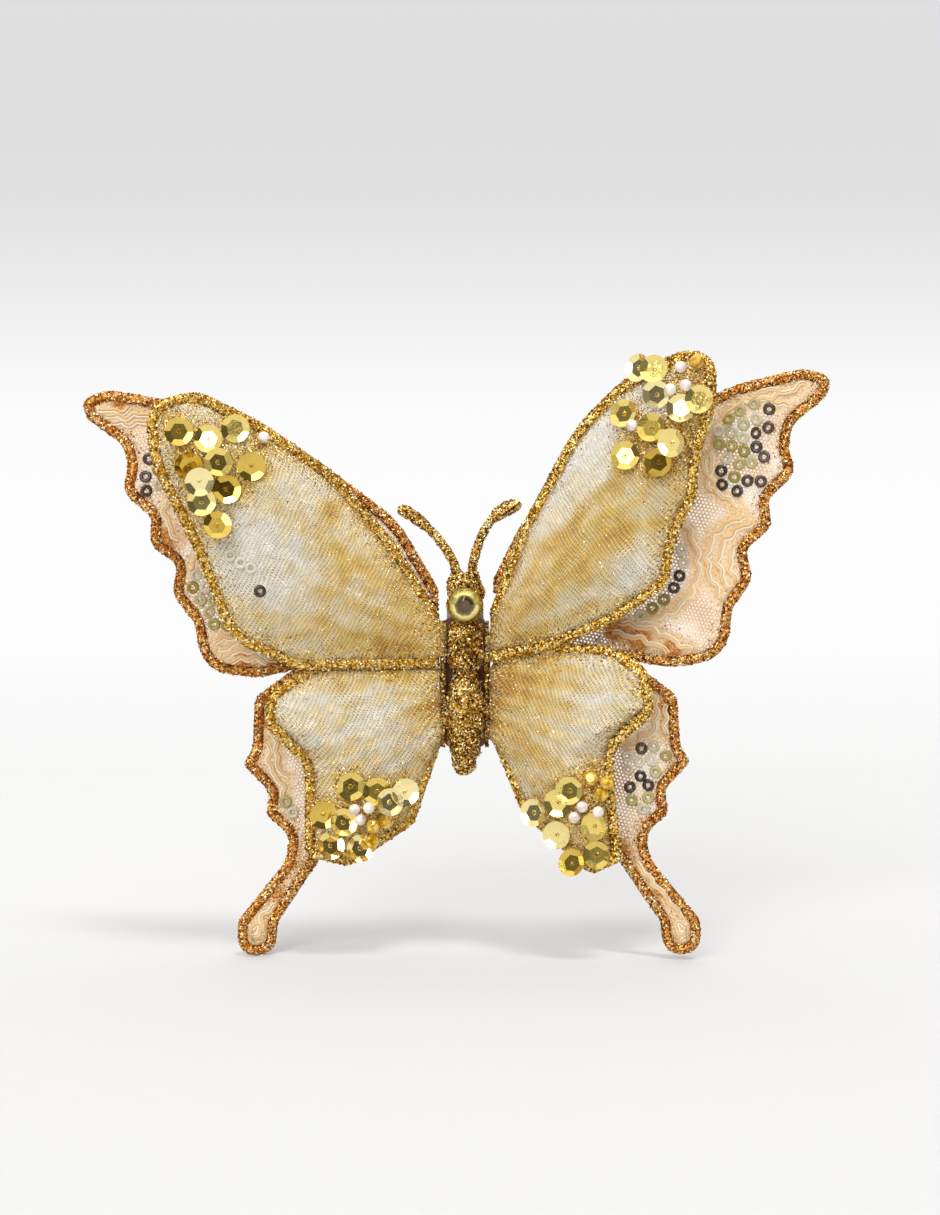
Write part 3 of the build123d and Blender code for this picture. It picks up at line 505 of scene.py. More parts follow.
def hang(side, fold, lift, layer):
    """Where a wing layer hangs: its axes (along the span, up the wing, out of its front), the foot
    of its root, and its side. It is turned up by lift in its own plane, set back, and folded
    forwards."""
    a, b = math.radians(fold), math.radians(lift)
    hand = -1 if side == "left" else 1
    along = (hand * math.cos(a) * math.cos(b), -math.sin(a) * math.cos(b), math.sin(b))
    up = (-hand * math.cos(a) * math.sin(b), math.sin(a) * math.sin(b), math.cos(b))
    out = (-hand * math.sin(a), -math.cos(a), 0)
    back = layer * LAYER_PITCH
    x, y, z = HINGE_PLACE
    foot = (hand * (x + math.sin(a) * back), y + math.cos(a) * back, z)
    return np.array([along, up, out]), np.array(foot), side


def carry(hung, points, triangles):
    """A surface of a wing, (along, up, out), taken to where the wing hangs, facing outwards."""
    axes, foot, side = hung
    return foot + points @ axes, triangles[:, ::-1] if side == "left" else triangles


def packed_faces(node, hung):
    """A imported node's points, as (along, up, out) of its wing, with doubles merged, and triangles."""
    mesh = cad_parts[node].data
    axes, foot, _ = hung
    places = np.empty(len(mesh.vertices) * 3, np.float32)
    mesh.vertices.foreach_get("co", places)
    mesh.calc_loop_triangles()
    corners = np.empty(len(mesh.loop_triangles) * 3, np.int32)
    mesh.loop_triangles.foreach_get("vertices", corners)
    places = (places.reshape(-1, 3) / MM - foot) @ axes.T
    merged, same = np.unique(places.round(3), axis=0, return_inverse=True)
    return merged, same.reshape(-1)[corners].reshape(-1, 3)


def front_edges(node, hung):
    """Edges round a flat node's front face, as pairs of (along, up): sides of its triangles there
    that no second one shares."""
    points, triangles = packed_faces(node, hung)
    front = triangles[(points[triangles, 2] > points[:, 2].max() - 0.01).all(1)]
    sides = np.sort(front[:, [[0, 1], [1, 2], [2, 0]]].reshape(-1, 2), axis=1)
    sides, uses = np.unique(sides, axis=0, return_counts=True)
    return points[sides[uses == 1]][:, :, :2]


def within(points, edges):
    """True for points inside the edges: a line to the right crosses them an odd number of times."""
    x, y = points[:, :1], points[:, 1:]
    (x0, y0), (x1, y1) = edges[:, 0].T, edges[:, 1].T
    crossing = (y0 > y) != (y1 > y)
    meeting = x0 + (y - y0) * (x1 - x0) / np.where(y1 == y0, 1, y1 - y0)
    return (crossing & (meeting > x)).sum(1) % 2 == 1


def edge_distance(points, edges):
    """Distance from each point to the nearest of the edges."""
    run = edges[:, 1] - edges[:, 0]
    offset = points[:, None] - edges[:, 0]
    share = np.clip((offset * run).sum(2) / (run**2).sum(1), 0, 1)
    return np.linalg.norm(offset - share[..., None] * run, axis=2).min(1)


def fill(edges, pitch):
    """Small triangles over the region inside the edges, on points a pitch apart along the edges and
    on rows between them. Returns the points, the triangles and each point's distance to the edge."""
    run = edges[:, 1] - edges[:, 0]
    cuts = np.ceil(np.linalg.norm(run, axis=1) / pitch).astype(int)
    owner = np.repeat(np.arange(len(edges)), cuts)
    step = np.arange(cuts.sum()) - np.repeat(np.cumsum(cuts) - cuts, cuts)
    share = np.stack([step, step + 1], 1) / cuts[owner][:, None]
    rim = edges[owner, :1] + share[..., None] * run[owner][:, None]
    low, high = edges.min((0, 1)), edges.max((0, 1))
    columns, rows = np.arange(low[0], high[0], pitch), np.arange(low[1], high[1], pitch * math.sqrt(0.75))
    across, up = np.meshgrid(columns, rows)
    across[1::2] += pitch / 2
    inner = np.stack([across.ravel(), up.ravel()], 1)
    inner = inner[within(inner, edges)]
    inner = inner[edge_distance(inner, edges) > 0.5 * pitch]
    rim, ends = np.unique(rim.reshape(-1, 2).round(4), axis=0, return_inverse=True)
    every = np.concatenate([rim, inner])
    places, _, faces, *_ = delaunay_2d_cdt(every.tolist(), ends.reshape(-1, 2).tolist(), [], 1, 1e-5)
    places, triangles = np.array(places), np.array(faces)
    triangles = triangles[within(places[triangles].mean(1), edges)]
    a, b, c = places[triangles].transpose(1, 0, 2)
    turned = np.cross(b - a, c - a) < 0
    triangles[turned] = triangles[turned][:, ::-1]
    return places, triangles, edge_distance(places, edges)


def relief(edges, width, seed):
    """A rounded band over a region: height is T/2 * (1 - (1 - s)^2)^0.5 in front and 0.8 of that
    behind, where s is the distance to the edge as a share of half the width, with lumps. The faces
    meet at the edge."""
    points, triangles, depth = fill(edges, BORDER_PITCH)
    rim = depth < 1e-3
    triangles = triangles[~rim[triangles].all(1)]
    share = np.clip(depth / (width / 2), 0, 1)
    height = BORDER_THICKNESS / 2 * np.sqrt(1 - (1 - share) ** 2)
    height *= 1 + 0.3 * lumps(points, 1.7, seed)
    front = np.column_stack([points, height])
    back = np.column_stack([points, -0.8 * height])
    twin = np.arange(len(points)) + np.where(rim, 0, len(points))
    triangles = np.concatenate([triangles, twin[triangles][:, ::-1]])
    return weld(np.concatenate([front, back]), triangles)


def make_border(stem, hung, width, finish, body, slot, count, seed):
    """The wire outline of a wing, buried in glue and foil."""
    band = relief(front_edges(stem + "border", hung), width, seed)
    outer = glittered(stem + "glitter", *carry(hung, *band), finish, body, slot, count, seed + 10)
    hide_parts(stem + "border")


def hold_sheet(piece, points, triangles, flat, thickness, offset, stem, node):
    """Gives a surface the thickness of its cloth, held stretched in its wing's glittered wire. Its
    flat size is not used."""
    thick = piece.modifiers.new("cloth", "SOLIDIFY")
    thick.thickness, thick.offset = thickness * MM, offset
    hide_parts(stem + node)
    a, b, c = points[triangles].transpose(1, 0, 2)


def make_dust(name, points, triangles, chance, finish, body, slot, count, seed, shades):
    """Foil dust over a sheet, strewn by the chance of each triangle, in shades of a mean and spread."""
    flakes, faces, spots = foil_flakes(points, triangles, count, seed, rim=DUST_RIM, chance=chance)
    shade = np.random.default_rng(seed + 10).normal(*shades, len(spots))
    make_piece(name, flakes, faces, finish, body, slot, faceted=True, foil=flake_marks(shade))


def smoothed(points, rounds=4):
    """A line with its corners cut to a curve: each round puts points at 1/4 and 3/4 of each run."""
    for _ in range(rounds):
        first, last = points[:-1], points[1:]
        cut = np.stack([0.75 * first + 0.25 * last, 0.25 * first + 0.75 * last], 1)
        points = np.concatenate([points[:1], cut.reshape(-1, points.shape[1]), points[-1:]])
    return points


def beside_line(line):
    """The way square to a flat line at each of its points."""
    heading = unit(np.gradient(line, axis=0))
    return np.column_stack([-heading[:, 1], heading[:, 0]])


def sewn_lines(side, wing, edges):
    """The wing's satin lines as curves that sway as a machine sews them, cut off at the edges."""
    lines = []
    for number, line in enumerate(SATIN_LINES[side, wing]):
        line = smoothed(np.array(line))
        run = np.cumsum(np.linalg.norm(np.gradient(line, axis=0), axis=1))
        sway = 0.34 * np.sin(run * math.tau / SATIN_WAVE + number) + 0.18 * np.sin(run * 2.3 + 2 * number)
        line = line + beside_line(line) * (sway * np.clip(run / 2, 0, 1))[:, None]
        line = line[within(line, edges) & (edge_distance(line, edges) > 0.4)]
        lines += [line] if len(line) > 20 else []
    return lines


def satin_cords(lines):
    """Satin stitch along lines: beside each other a broad and a thin flat cord, thinner at their
    ends. Returns points, triangles and the mark run: three times the way from the line's start,
    paleness, which paints a highlight on the thin cord, and height."""
    points, corners, runs, total = [], [], [], 0
    for line in lines:
        swell = np.sin(np.linspace(0.12, math.pi - 0.12, len(line))) ** 0.3
        for offset, width, pale in SATIN_CORDS:
            path = np.column_stack([line + beside_line(line) * offset, np.full(len(line), SATIN_RISE)])
            cord, cord_faces = tube(path, width * swell, 10, (0.0, 0.0, 1.0), flat=0.55)
            length = np.linalg.norm(cord[:, :2] - line[0], axis=1)
            points.append(cord)
            corners.append(cord_faces + total)
            runs.append(np.column_stack([length * 3, np.full(len(cord), pale), cord[:, 2]]))
            total += len(cord)
    return np.concatenate(points), np.concatenate(corners), np.concatenate(runs)


def make_tulle():
    """Tulle: warm beige threads round a honeycomb of holes, closed up where it is stitched over.
    Waves along three ways 60 degrees apart add up high in each hole and low along the threads."""
    finish, tree, shader, _ = new_finish("tulle", Roughness=0.7, Sheen_Weight=0.3)
    place = marked(tree, "cloth", "Vector")
    stitched, glued = marked(tree, "stitched"), marked(tree, "glued")
    waves = []
    for turn in (0.3, 0.3 + math.tau / 6, 0.3 + math.tau / 3):
        way = (math.cos(turn), math.sin(turn), 0.0)
        along = vector_calc(tree, "DOT_PRODUCT", place, way, output="Value")
        waves.append(calc(tree, "COSINE", calc(tree, "DIVIDE", along, 0.112)))
    total = calc(tree, "ADD", calc(tree, "ADD", waves[0], waves[1]), waves[2])
    thread = spread(tree, total, 0.0, 1.0, 0.75, -0.5)
    patch, fine = noise(tree, place, 0.16), noise(tree, place, 1.8, 3.0)
    net = tint(tree, patch, (0.35, 226, 182, 128), (0.5, 242, 208, 162), (0.65, 250, 232, 208))
    floss = tint(tree, fine, (0.35, 226, 178, 116), (0.5, 246, 210, 154), (0.65, 255, 238, 202))
    rust = tint(tree, fine, (0.3, 136, 70, 14), (0.5, 196, 122, 40), (0.68, 244, 190, 104))
    edged = calc(tree, "MULTIPLY_ADD", glued, 1.6, calc(tree, "MULTIPLY_ADD", fine, 1.4, -1.2))
    soaked = spread(tree, edged, 0.0, 1.0, 0.1, 0.5)
    colour = blend(tree, soaked, blend(tree, stitched, net, floss), rust)
    cover = calc(tree, "MULTIPLY_ADD", thread, 0.78, 0.1)
    alpha = calc(tree, "MAXIMUM", calc(tree, "MAXIMUM", cover, stitched), soaked)
    relieved = bumped(tree, thread, 0.5, 0.0001)
    feed(tree, shader, {"Base Color": colour, "Alpha": alpha, "Normal": relieved})
    return finish


def make_satin():
    """Satin stitch: beige floss laid side by side, with a painted highlight where it would catch the light,
    strongest along the thin cord.
    """
    finish, tree, shader, place = new_finish("satin", Roughness=0.42, Sheen_Weight=0.4, Anisotropic=0.4)
    run = marked(tree, "run", "Vector")
    stitch = put(tree, "TexWave", {"Vector": run, "Scale": 0.9, "Distortion": 1.5, "Detail": 2.0})
    # Paleness of each cord: a painted highlight
    pale = put(tree, "SeparateXYZ", {0: run}).outputs["Y"]
    patch = calc(tree, "MULTIPLY_ADD", noise(tree, place, 160.0), 0.35, pale)
    colour = tint(tree, patch, (0.1, 214, 156, 88), (0.45, 244, 202, 144), (0.9, 255, 244, 216))
    feed(tree, shader, {"Base Color": colour, "Normal": bumped(tree, stitch.outputs["Fac"], 0.5, 0.0001)})
    return finish


def make_ring_film():
    """Ring sequins: dark brown, olive or clear film, by the mark tone, with a touch of painted glint where
    pinched.
    """
    finish, tree, shader, _ = new_finish("ring_sequin", Roughness=0.24, Coat_Weight=0.15)
    tone = marked(tree, "tone")
    film = tint(tree, tone, (0.0, 40, 20, 8), (0.3, 84, 52, 22), (0.45, 158, 142, 44), (0.6, 190, 180, 120),
                (1.0, 226, 220, 200))
    # A touch of painted glint where the ring is pinched
    colour = blend(tree, calc(tree, "MULTIPLY", marked(tree, "notch_glint"), 0.06), film, dye(246, 238, 214))
    feed(tree, shader, {"Base Color": colour, "Alpha": spread(tree, tone, 1.0, 0.72, 0.4, 0.75)})
    return finish


def solid_places(node, hung):
    """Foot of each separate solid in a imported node: its middle along and up, and its lowest
    height. Solids are told apart by passing each point's least number to its neighbours."""
    points, triangles = packed_faces(node, hung)
    label = np.arange(len(points))
    for _ in range(60):
        np.minimum.at(label, triangles.ravel(), np.repeat(label[triangles].min(1), 3))
    solids = [points[label == number] for number in np.unique(label)]
    return np.array([[*(p.min(0) + p.max(0))[:2] / 2, p[:, 2].min()] for p in solids])


def repeated(points, triangles, places, axes):
    """Copies of a small form, one at each place, turned to each set of three axes."""
    every = places[:, None] + np.einsum("pk,nkc->npc", points, axes)
    corners = triangles[None] + len(points) * np.arange(len(places))[:, None, None]
    return every.reshape(-1, 3), corners.reshape(-1, 3)


def leaning_axes(facings, rng):
    """Three square axes at each place: the last along the facing, the others spun at random."""
    out = unit(facings)
    along = unit(np.cross(out, rng.normal(size=out.shape)))
    return np.stack([along, np.cross(out, along), out], 1)


def closed_surface(rings):
    """Joins closed rings of points, and the last ring to the first, into a surface."""
    rows, columns = rings.shape[:2]
    row, column = np.arange(rows)[:, None] * columns, np.arange(columns)[None, :]
    after, beside = (row + columns) % (rows * columns), (column + 1) % columns
    quads = np.stack([row + column, after + column, after + beside, row + beside], -1)
    return rings.reshape(-1, 3), as_triangles(quads.reshape(-1, 4))


def ring_form():
    """A ring sequin: its section goes R + w * cos t out and 0.2 + 0.2 * (w / 0.36) * sin t up, and
    its half width w is faintly pinched at eight places. Also returns how pinched each point is,
    for a painted glint there."""
    turn = np.linspace(0, math.tau, 48, endpoint=False)
    notch_glint = np.abs(np.sin(turn * 4)) ** 0.35
    tilt = np.linspace(0, math.tau, 8, endpoint=False)[None, :]
    half = RING_HALF_WIDTH * (0.98 + 0.02 * notch_glint)[:, None]
    out = RING_RADIUS + half * np.cos(tilt)
    height = 0.2 + 0.2 * np.sin(tilt) * half / 0.36
    rings = np.stack([out * np.cos(turn)[:, None], out * np.sin(turn)[:, None], height], -1)
    return *closed_surface(rings), np.repeat(1 - notch_glint, 8)


def sew_rings(name, hung, places, axes, tones, body):
    """Ring sequins at places on a wing, turned to their axes."""
    form, faces, notch_glint = ring_form()
    sewn = carry(hung, *repeated(form, faces, places, axes))
    marks = {"tone": np.repeat(tones, len(form)), "notch_glint": np.tile(notch_glint, len(places))}
    return make_piece(name, *sewn, ring_film, body, "ring_sequin", **marks)


tulle, satin, ring_film = make_tulle(), make_satin(), make_ring_film()
copper_glitter = make_glitter("copper_glitter", COPPER_FOILS, (108, 54, 14))
for number, (side, wing) in enumerate(WINGS):
    hung = hang(side, BACK_FOLDS[side], BACK_LIFTS[wing][side], BACK_LAYERS[wing])
    stem, body = f"{side}_back_{wing}_", f"{side}_back_wing"
    make_border(stem, hung, BACK_BORDER_WIDTH, copper_glitter, body, "copper_glitter",
                BACK_BORDER_FLAKES[wing], 40 + number)

    edges = front_edges(stem + "net", hung)
    flat, faces, depth = fill(edges, NET_PITCH)
    wave = 0.16 * lumps(flat, 9.0, 60 + number) * np.clip(depth / 3, 0, 1)
    lines = sewn_lines(side, wing, edges)
    stitched, glued = np.zeros(len(flat)), np.zeros(len(flat))
    for line in lines:
        near = np.linalg.norm(flat[:, None] - line[None], axis=2).min(1)
        stitched = np.maximum(stitched, np.clip(1.5 - near / SATIN_FILL_REACH, 0, 0.8))
    pools = COPPER_POOLS[side, wing]
    for along, up, reach in pools:
        glued = np.maximum(glued, np.exp(-((flat - (along, up)) ** 2).sum(1) / reach**2))
    marks = {"cloth": np.column_stack([flat, np.zeros(len(flat))]), "stitched": stitched, "glued": glued}
    sheet = carry(hung, np.column_stack([flat, wave]), faces)
    net = make_piece(stem + "tulle", *sheet, tulle, body, "tulle", **marks)
    hold_sheet(net, *sheet, flat, NET_THICKNESS, 0.0, stem, "net")

    middle, from_edge = flat[faces].mean(1), depth[faces].mean(1)
    chance = 0.5 * np.exp(-from_edge / 0.9) + 0.004
    chance += sum(np.exp(-((middle - (u, v)) ** 2).sum(1) / reach**2) for u, v, reach in pools)
    make_dust(stem + "copper_dust", *sheet, chance, copper_glitter, body, "copper_glitter", COPPER_DUST,
              70 + number, (0.48, 0.34))

    if lines:
        cords, cord_faces, runs = satin_cords(lines)
        make_piece(stem + "embroidery", *carry(hung, cords, cord_faces), satin, body, "tulle", run=runs)

    rng = np.random.default_rng(90 + number)
    places = solid_places(stem + "rings", hung)
    dark = np.array(DARK_RINGS[side, wing] or [(0.0, 0.0)])
    is_dark = np.linalg.norm(places[:, None, :2] - dark, axis=2).min(1) < DARK_RING_REACH
    tones = np.where(is_dark, rng.uniform(0, 0.2, len(places)), rng.uniform(0.4, 1.0, len(places)))
    facings = np.column_stack([rng.normal(scale=0.16, size=(len(places), 2)), np.ones(len(places))])
    sewn = sew_rings(stem + "ring_sequins", hung, places, leaning_axes(facings, rng), tones, body)
    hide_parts(stem + "rings")

# Front wings: gold lame in a wired, gold-glittered outline, under a puffed skin of organza,
# trimmed with cup sequins, pearls and faceted beads sewn down in a heap.
FRONT_FOLDS = {"left": 12.0, "right": 24.0}
FRONT_LIFTS = {"forewing": {"left": 0.0, "right": 9.5}, "hindwing": {"left": 0.0, "right": 1.6}}
FRONT_LAYERS = {"forewing": 0, "hindwing": 1}
FRONT_BORDER_WIDTH = 2.6
FRONT_BORDER_FLAKES = {"forewing": 5600, "hindwing": 4000}
GOLD_DUST = 9000
GOLD_FOILS = [(0.0, 108, 62, 4), (0.3, 178, 118, 16), (0.48, 246, 190, 66), (0.66, 255, 230, 130),
              (1.0, 255, 250, 208)]
PUFF_CENTRES = {"forewing": (30.1, 26.4), "hindwing": (18.0, -20.3)}
CROWNS = {"forewing": 6.0, "hindwing": 5.0}
SKIN_PITCH = 1.0
SKIN_THICKNESS = 0.12
LINING_THICKNESS = 0.25
LINING_DROP = 0.3
CUP_RADIUS, CUP_FLOOR, CUP_HOLE, CUP_FILM, CUP_SLOPE = 3.0, 1.9, 0.42, 0.12, 0.45
CUP_LIFT = 0.24
PEARL_RADIUS, BEAD_RADIUS = 1.25, 1.6

# How gold the organza looks: at the root, at the tip, and in patches (along, up, reach, amount); patches
# below 0 are painted sheen, whiter where the light falls
GILDING_AND_SHEEN = {
    ("left", "forewing"): (0.62, 0.10, [
        (8.0, 9.0, 7.0, 0.20), (24.5, 17.0, 6.0, 0.25), (24.0, 41.0, 9.0, -0.30), (40.0, 24.0, 11.0, -0.25),
        (25.0, 33.0, 2.6, 0.50), (4.0, 14.0, 3.0, -0.4), (14.0, 4.0, 6.0, 0.2)]),
    ("right", "forewing"): (0.55, 0.40, [
        (12.0, 3.0, 6.0, 0.35), (26.0, 20.0, 7.0, 0.18), (22.0, 33.0, 7.0, -0.30), (38.0, 14.0, 5.0, -0.35),
        (33.0, 45.0, 9.0, -0.5), (36.0, 24.0, 4.0, 0.25)]),
    ("left", "hindwing"): (0.35, 0.18, [
        (3.0, -10.0, 5.0, 0.55), (12.0, 0.0, 6.0, 0.30), (14.0, -14.0, 6.0, -0.25), (24.0, -10.0, 6.0, 0.15),
        (3.5, -22.0, 4.0, 0.3)]),
    ("right", "hindwing"): (0.55, 0.32, [
        (3.0, -6.0, 7.0, 0.45), (14.0, 2.0, 6.0, 0.35), (26.0, -8.0, 7.0, -0.30), (14.0, -14.0, 4.0, 0.2),
        (20.0, -22.0, 6.0, -0.12)]),
}
# Ring sequins of the back layer that show through the left forewing: place and tone
SHOWN_THROUGH = [(44.3, 22.1, 1.0), (42.2, 21.0, 0.95), (46.4, 23.6, 0.9), (40.3, 16.1, 0.05)]
ROOT_OVERLAP = 3.2
ROOT_COVER = 0.72
RIM_TUCK = 0.6
RIM_RISE = 0.34
# Line above which the right forewing's lining stops, torn and uneven: along and up
LINING_EDGE = [(0.0, 18.0), (14.0, 27.5), (25.1, 35.2), (30.4, 37.4), (33.7, 39.2), (38.0, 42.4),
               (46.0, 43.6)]


def puff(points, edge_points, wing):
    """Height of the puffed skin: crown * (1 - r^2.4)^0.8, where r is the distance from the centre
    as a share of the edge's distance on the same bearing. Also returns r and the bearing."""
    spoke, ray = edge_points - PUFF_CENTRES[wing], points - PUFF_CENTRES[wing]
    bearing = np.arctan2(spoke[:, 1], spoke[:, 0])
    at = np.arctan2(ray[:, 1], ray[:, 0])
    edge = np.interp(at, *np.array(sorted(zip(bearing, np.linalg.norm(spoke, axis=1)))).T, period=math.tau)
    share = np.clip(np.linalg.norm(ray, axis=1) / edge, 0, 1)
    return CROWNS[wing] * (1 - share**2.4) ** 0.8, share, at


def gild_and_sheen(flat, fan, past_lining, heaped, side, wing, number):
    """How gold each point of a skin looks, with painted light and shade in it: even from root to tip,
    with patches, those that whiten it being painted sheen where the light falls, and streaks that
    fan out from the root, painted light and shade of the pleats; less past the lining and more near
    the trimmings."""
    root_gilt, tip_gilt, patches = GILDING_AND_SHEEN[side, wing]
    gilt_and_sheen = root_gilt + (tip_gilt - root_gilt) * flat[:, 0] / flat[:, 0].max()
    for along, up, reach, amount in patches:
        gilt_and_sheen += amount * np.exp(-((flat - (along, up)) ** 2).sum(1) / reach**2)
    # Streaks that fan out from the root: painted light and shade of the pleats
    gilt_and_sheen += 0.11 * np.tanh(2 * np.sin(11 * fan + number)) + 0.07 * np.tanh(2 * np.sin(29 * fan + 2))
    gilt_and_sheen += 0.07 * np.sin(61 * fan) + 0.1 * lumps(flat, 5.0, 160 + number)
    gilt_and_sheen -= 0.5 * np.clip(past_lining / 2, 0, 1)
    to_trims = np.linalg.norm(flat[:, None] - heaped, axis=2).min(1)
    return np.clip(gilt_and_sheen + 0.7 * np.exp(-((to_trims / 3.4) ** 2)), 0, 1)


def skin_points(flat, depth, fan, wing, number):
    """The organza as (along, up, out): the puff's height, with gathers round it, pleats fanning from
    the root and lumps. Its rim is tucked out over the wire, and its root drawn over the body's side
    in puckers."""
    height, share, bearing = puff(flat, flat[depth < 1e-3], wing)
    gathers = 0.3 * np.sin(bearing * 23 + 3 * lumps(flat, 20.0, 170 + number)) * share**3 * (1 - share)
    pleats = 0.2 * np.sin(fan * 46 + number) * np.clip(1.3 - share, 0, 1) * np.clip(depth, 0, 1)
    at_root = np.exp(-np.clip(flat[:, 0] - flat[:, 0].min(), 0, None) / 2.2)
    at_rim = np.exp(-depth / 0.9)
    outward = unit(flat - PUFF_CENTRES[wing]) * (RIM_TUCK * at_rim * (1 - at_root))[:, None]
    places = np.column_stack([flat[:, 0] - ROOT_OVERLAP * at_root, flat[:, 1]]) + outward
    puckers = 0.18 * np.sin(flat[:, 1] * 5.2 + 2 * lumps(flat, 3.0, 7 + number)) * at_root
    height = height + gathers + pleats + np.maximum(ROOT_COVER * at_root, RIM_RISE * at_rim) + puckers
    return np.column_stack([places, height + 0.2 * lumps(flat, 8.0, 180 + number) * (1 - share)])


def make_organza():
    """Organza: sheer, silvery to gold by its mark of gilding, which also holds painted sheen:
    whiter patches where the light falls and streaks of pleat light and shade. It lies over a
    second cloth, with foil dust caught in it. Threads run along two crossing ways, bent by a slow
    wander; dash is high where both leave a gap, and knot where both are thick, and the knots get
    painted glints."""
    finish, tree, shader, _ = new_finish("organza", Sheen_Weight=0.3, Sheen_Roughness=0.3)
    place, gilt_and_sheen, sheer = marked(tree, "cloth", "Vector"), marked(tree, "gilt_and_sheen"), marked(tree, "sheer")
    slow = put(tree, "TexNoise", {"Vector": place, "Scale": 0.14, "Detail": 2.0}).outputs["Color"]
    bent = vector_calc(tree, "ADD", place, vector_calc(tree, "MULTIPLY", slow, (2.2, 2.2, 2.2)))
    waves = []
    for turn, size in ((0.5, 0.62), (2.3, 1.0)):
        way = (math.tau * size * math.cos(turn), math.tau * size * math.sin(turn), 0.0)
        along = vector_calc(tree, "DOT_PRODUCT", bent, way, output="Value")
        waves.append(calc(tree, "SINE", calc(tree, "DIVIDE", along, 0.5)))
    knot = calc(tree, "MINIMUM", *waves)
    dash = spread(tree, calc(tree, "MAXIMUM", *waves), 0.0, 1.0, 0.25, -0.45)
    crease = noise(tree, place, 0.42, 6.0, Roughness=0.72, Distortion=1.0)
    cloud = noise(tree, place, 0.13, 3.0)
    wander = calc(tree, "MULTIPLY_ADD", cloud, 0.5, calc(tree, "MULTIPLY_ADD", crease, 0.45, -0.46))
    shade = tint(tree, calc(tree, "ADD", gilt_and_sheen, wander), (0.0, 255, 247, 230), (0.2, 252, 237, 204),
                 (0.45, 248, 221, 160), (0.7, 240, 198, 94), (1.0, 206, 150, 36))
    dashed = calc(tree, "MULTIPLY", dash, spread(tree, cloud, 0.2, 0.8, 0.35, 0.65))
    lined = blend(tree, dashed, shade, blend(tree, gilt_and_sheen, dye(168, 144, 108), dye(170, 122, 44)))
    grains = put(tree, "TexVoronoi", {"Vector": place, "Scale": 2.0}).outputs
    lot = put(tree, "SeparateColor", {"Color": grains["Color"]}).outputs[0]
    near = calc(tree, "LESS_THAN", grains["Distance"], 0.36)
    speck = calc(tree, "MULTIPLY", near, calc(tree, "GREATER_THAN", lot, 0.86))
    # Painted glints: the colour is whitened where the threads cross
    glint = calc(tree, "MULTIPLY", spread(tree, knot, 0.0, 1.0, 0.2, 0.8), 0.5)
    height = calc(tree, "MULTIPLY_ADD", knot, 0.2, calc(tree, "MULTIPLY", crease, 4.5))
    seen_through = calc(tree, "SUBTRACT", 1.0, calc(tree, "MULTIPLY", sheer, 0.5))
    feed(tree, shader, {
        "Base Color": blend(tree, calc(tree, "MAXIMUM", glint, speck), lined, dye(255, 250, 236)),
        "Roughness": spread(tree, speck, 0.36, 0.12),
        "Alpha": calc(tree, "MULTIPLY", calc(tree, "MULTIPLY_ADD", dash, -0.25, 0.97), seen_through),
        "Normal": bumped(tree, height, 0.8, 0.0005),
        "Metallic": calc(tree, "MAXIMUM", calc(tree, "MULTIPLY", gilt_and_sheen, 0.12), speck),
    })
    return finish


def make_gold_lining():
    """Gold lame: a knitted backing under foil, crazed into tiny creases. Its threads pass over and
    under each other."""
    finish, tree, shader, _ = new_finish("gold_lining", Metallic=0.6)
    place = marked(tree, "cloth", "Vector")
    part = put(tree, "SeparateXYZ", {0: vector_calc(tree, "MULTIPLY", place, (5.0, 5.0, 5.0))}).outputs
    warp, weft = (calc(tree, "ABSOLUTE", calc(tree, "SINE", part[way])) for way in ("X", "Y"))
    crease = noise(tree, place, 0.5, 5.0, Roughness=0.7)
    colour = tint(tree, crease, (0.3, 150, 110, 44), (0.5, 204, 168, 92), (0.7, 238, 214, 150))
    height = calc(tree, "MULTIPLY_ADD", calc(tree, "MAXIMUM", warp, weft), 0.3, crease)
    rough = spread(tree, crease, 0.25, 0.55)
    creased = bumped(tree, height, 0.6, 0.0004)
    feed(tree, shader, {"Base Color": colour, "Roughness": rough, "Normal": creased})
    return finish


def make_gold_sequin():
    """Cup sequins: gold film, some pale, some olive, some brown, by the mark tone."""
    finish, tree, shader, place = new_finish("gold_sequin", Metallic=0.9, Coat_Weight=0.6,
                                             Coat_Roughness=0.05)
    scuff = noise(tree, place, 900.0, 3.0)
    shade = calc(tree, "MULTIPLY_ADD", scuff, 0.2, calc(tree, "SUBTRACT", marked(tree, "tone"), 0.1))
    colour = tint(tree, shade, (0.0, 150, 108, 30), (0.3, 214, 176, 60), (0.6, 242, 214, 112),
                  (1.0, 255, 238, 172))
    rough = spread(tree, scuff, 0.04, 0.16)
    scuffed = bumped(tree, scuff, 0.1, 0.0002)
    feed(tree, shader, {"Base Color": colour, "Roughness": rough, "Normal": scuffed})
    return finish


def make_pearl():
    """Pearls: cream lacquer over a bead, faintly pink and cloudy."""
    finish, tree, shader, place = new_finish("pearl", Roughness=0.28, Coat_Weight=0.8, Coat_Roughness=0.12)
    cloud = noise(tree, place, 700.0)
    colour = tint(tree, cloud, (0.35, 214, 196, 180), (0.5, 236, 224, 214), (0.65, 248, 240, 234))
    feed(tree, shader, {"Base Color": colour})
    return finish


def make_crystal():
    """Faceted beads: yellow glass with the light and dark of its depths painted on, pale at the middle of
    small cells and dark at their edges.
    """
    finish, tree, shader, place = new_finish("crystal", Roughness=0.08, Coat_Weight=1.0, Metallic=0.35)
    # Painted light and shade of the glass's depths
    depth = put(tree, "TexVoronoi", {"Vector": place, "Scale": 900.0}).outputs["Distance"]
    colour = tint(tree, depth, (0.0, 255, 236, 120), (0.4, 238, 190, 34), (0.9, 150, 98, 12))
    feed(tree, shader, {"Base Color": colour})
    return finish


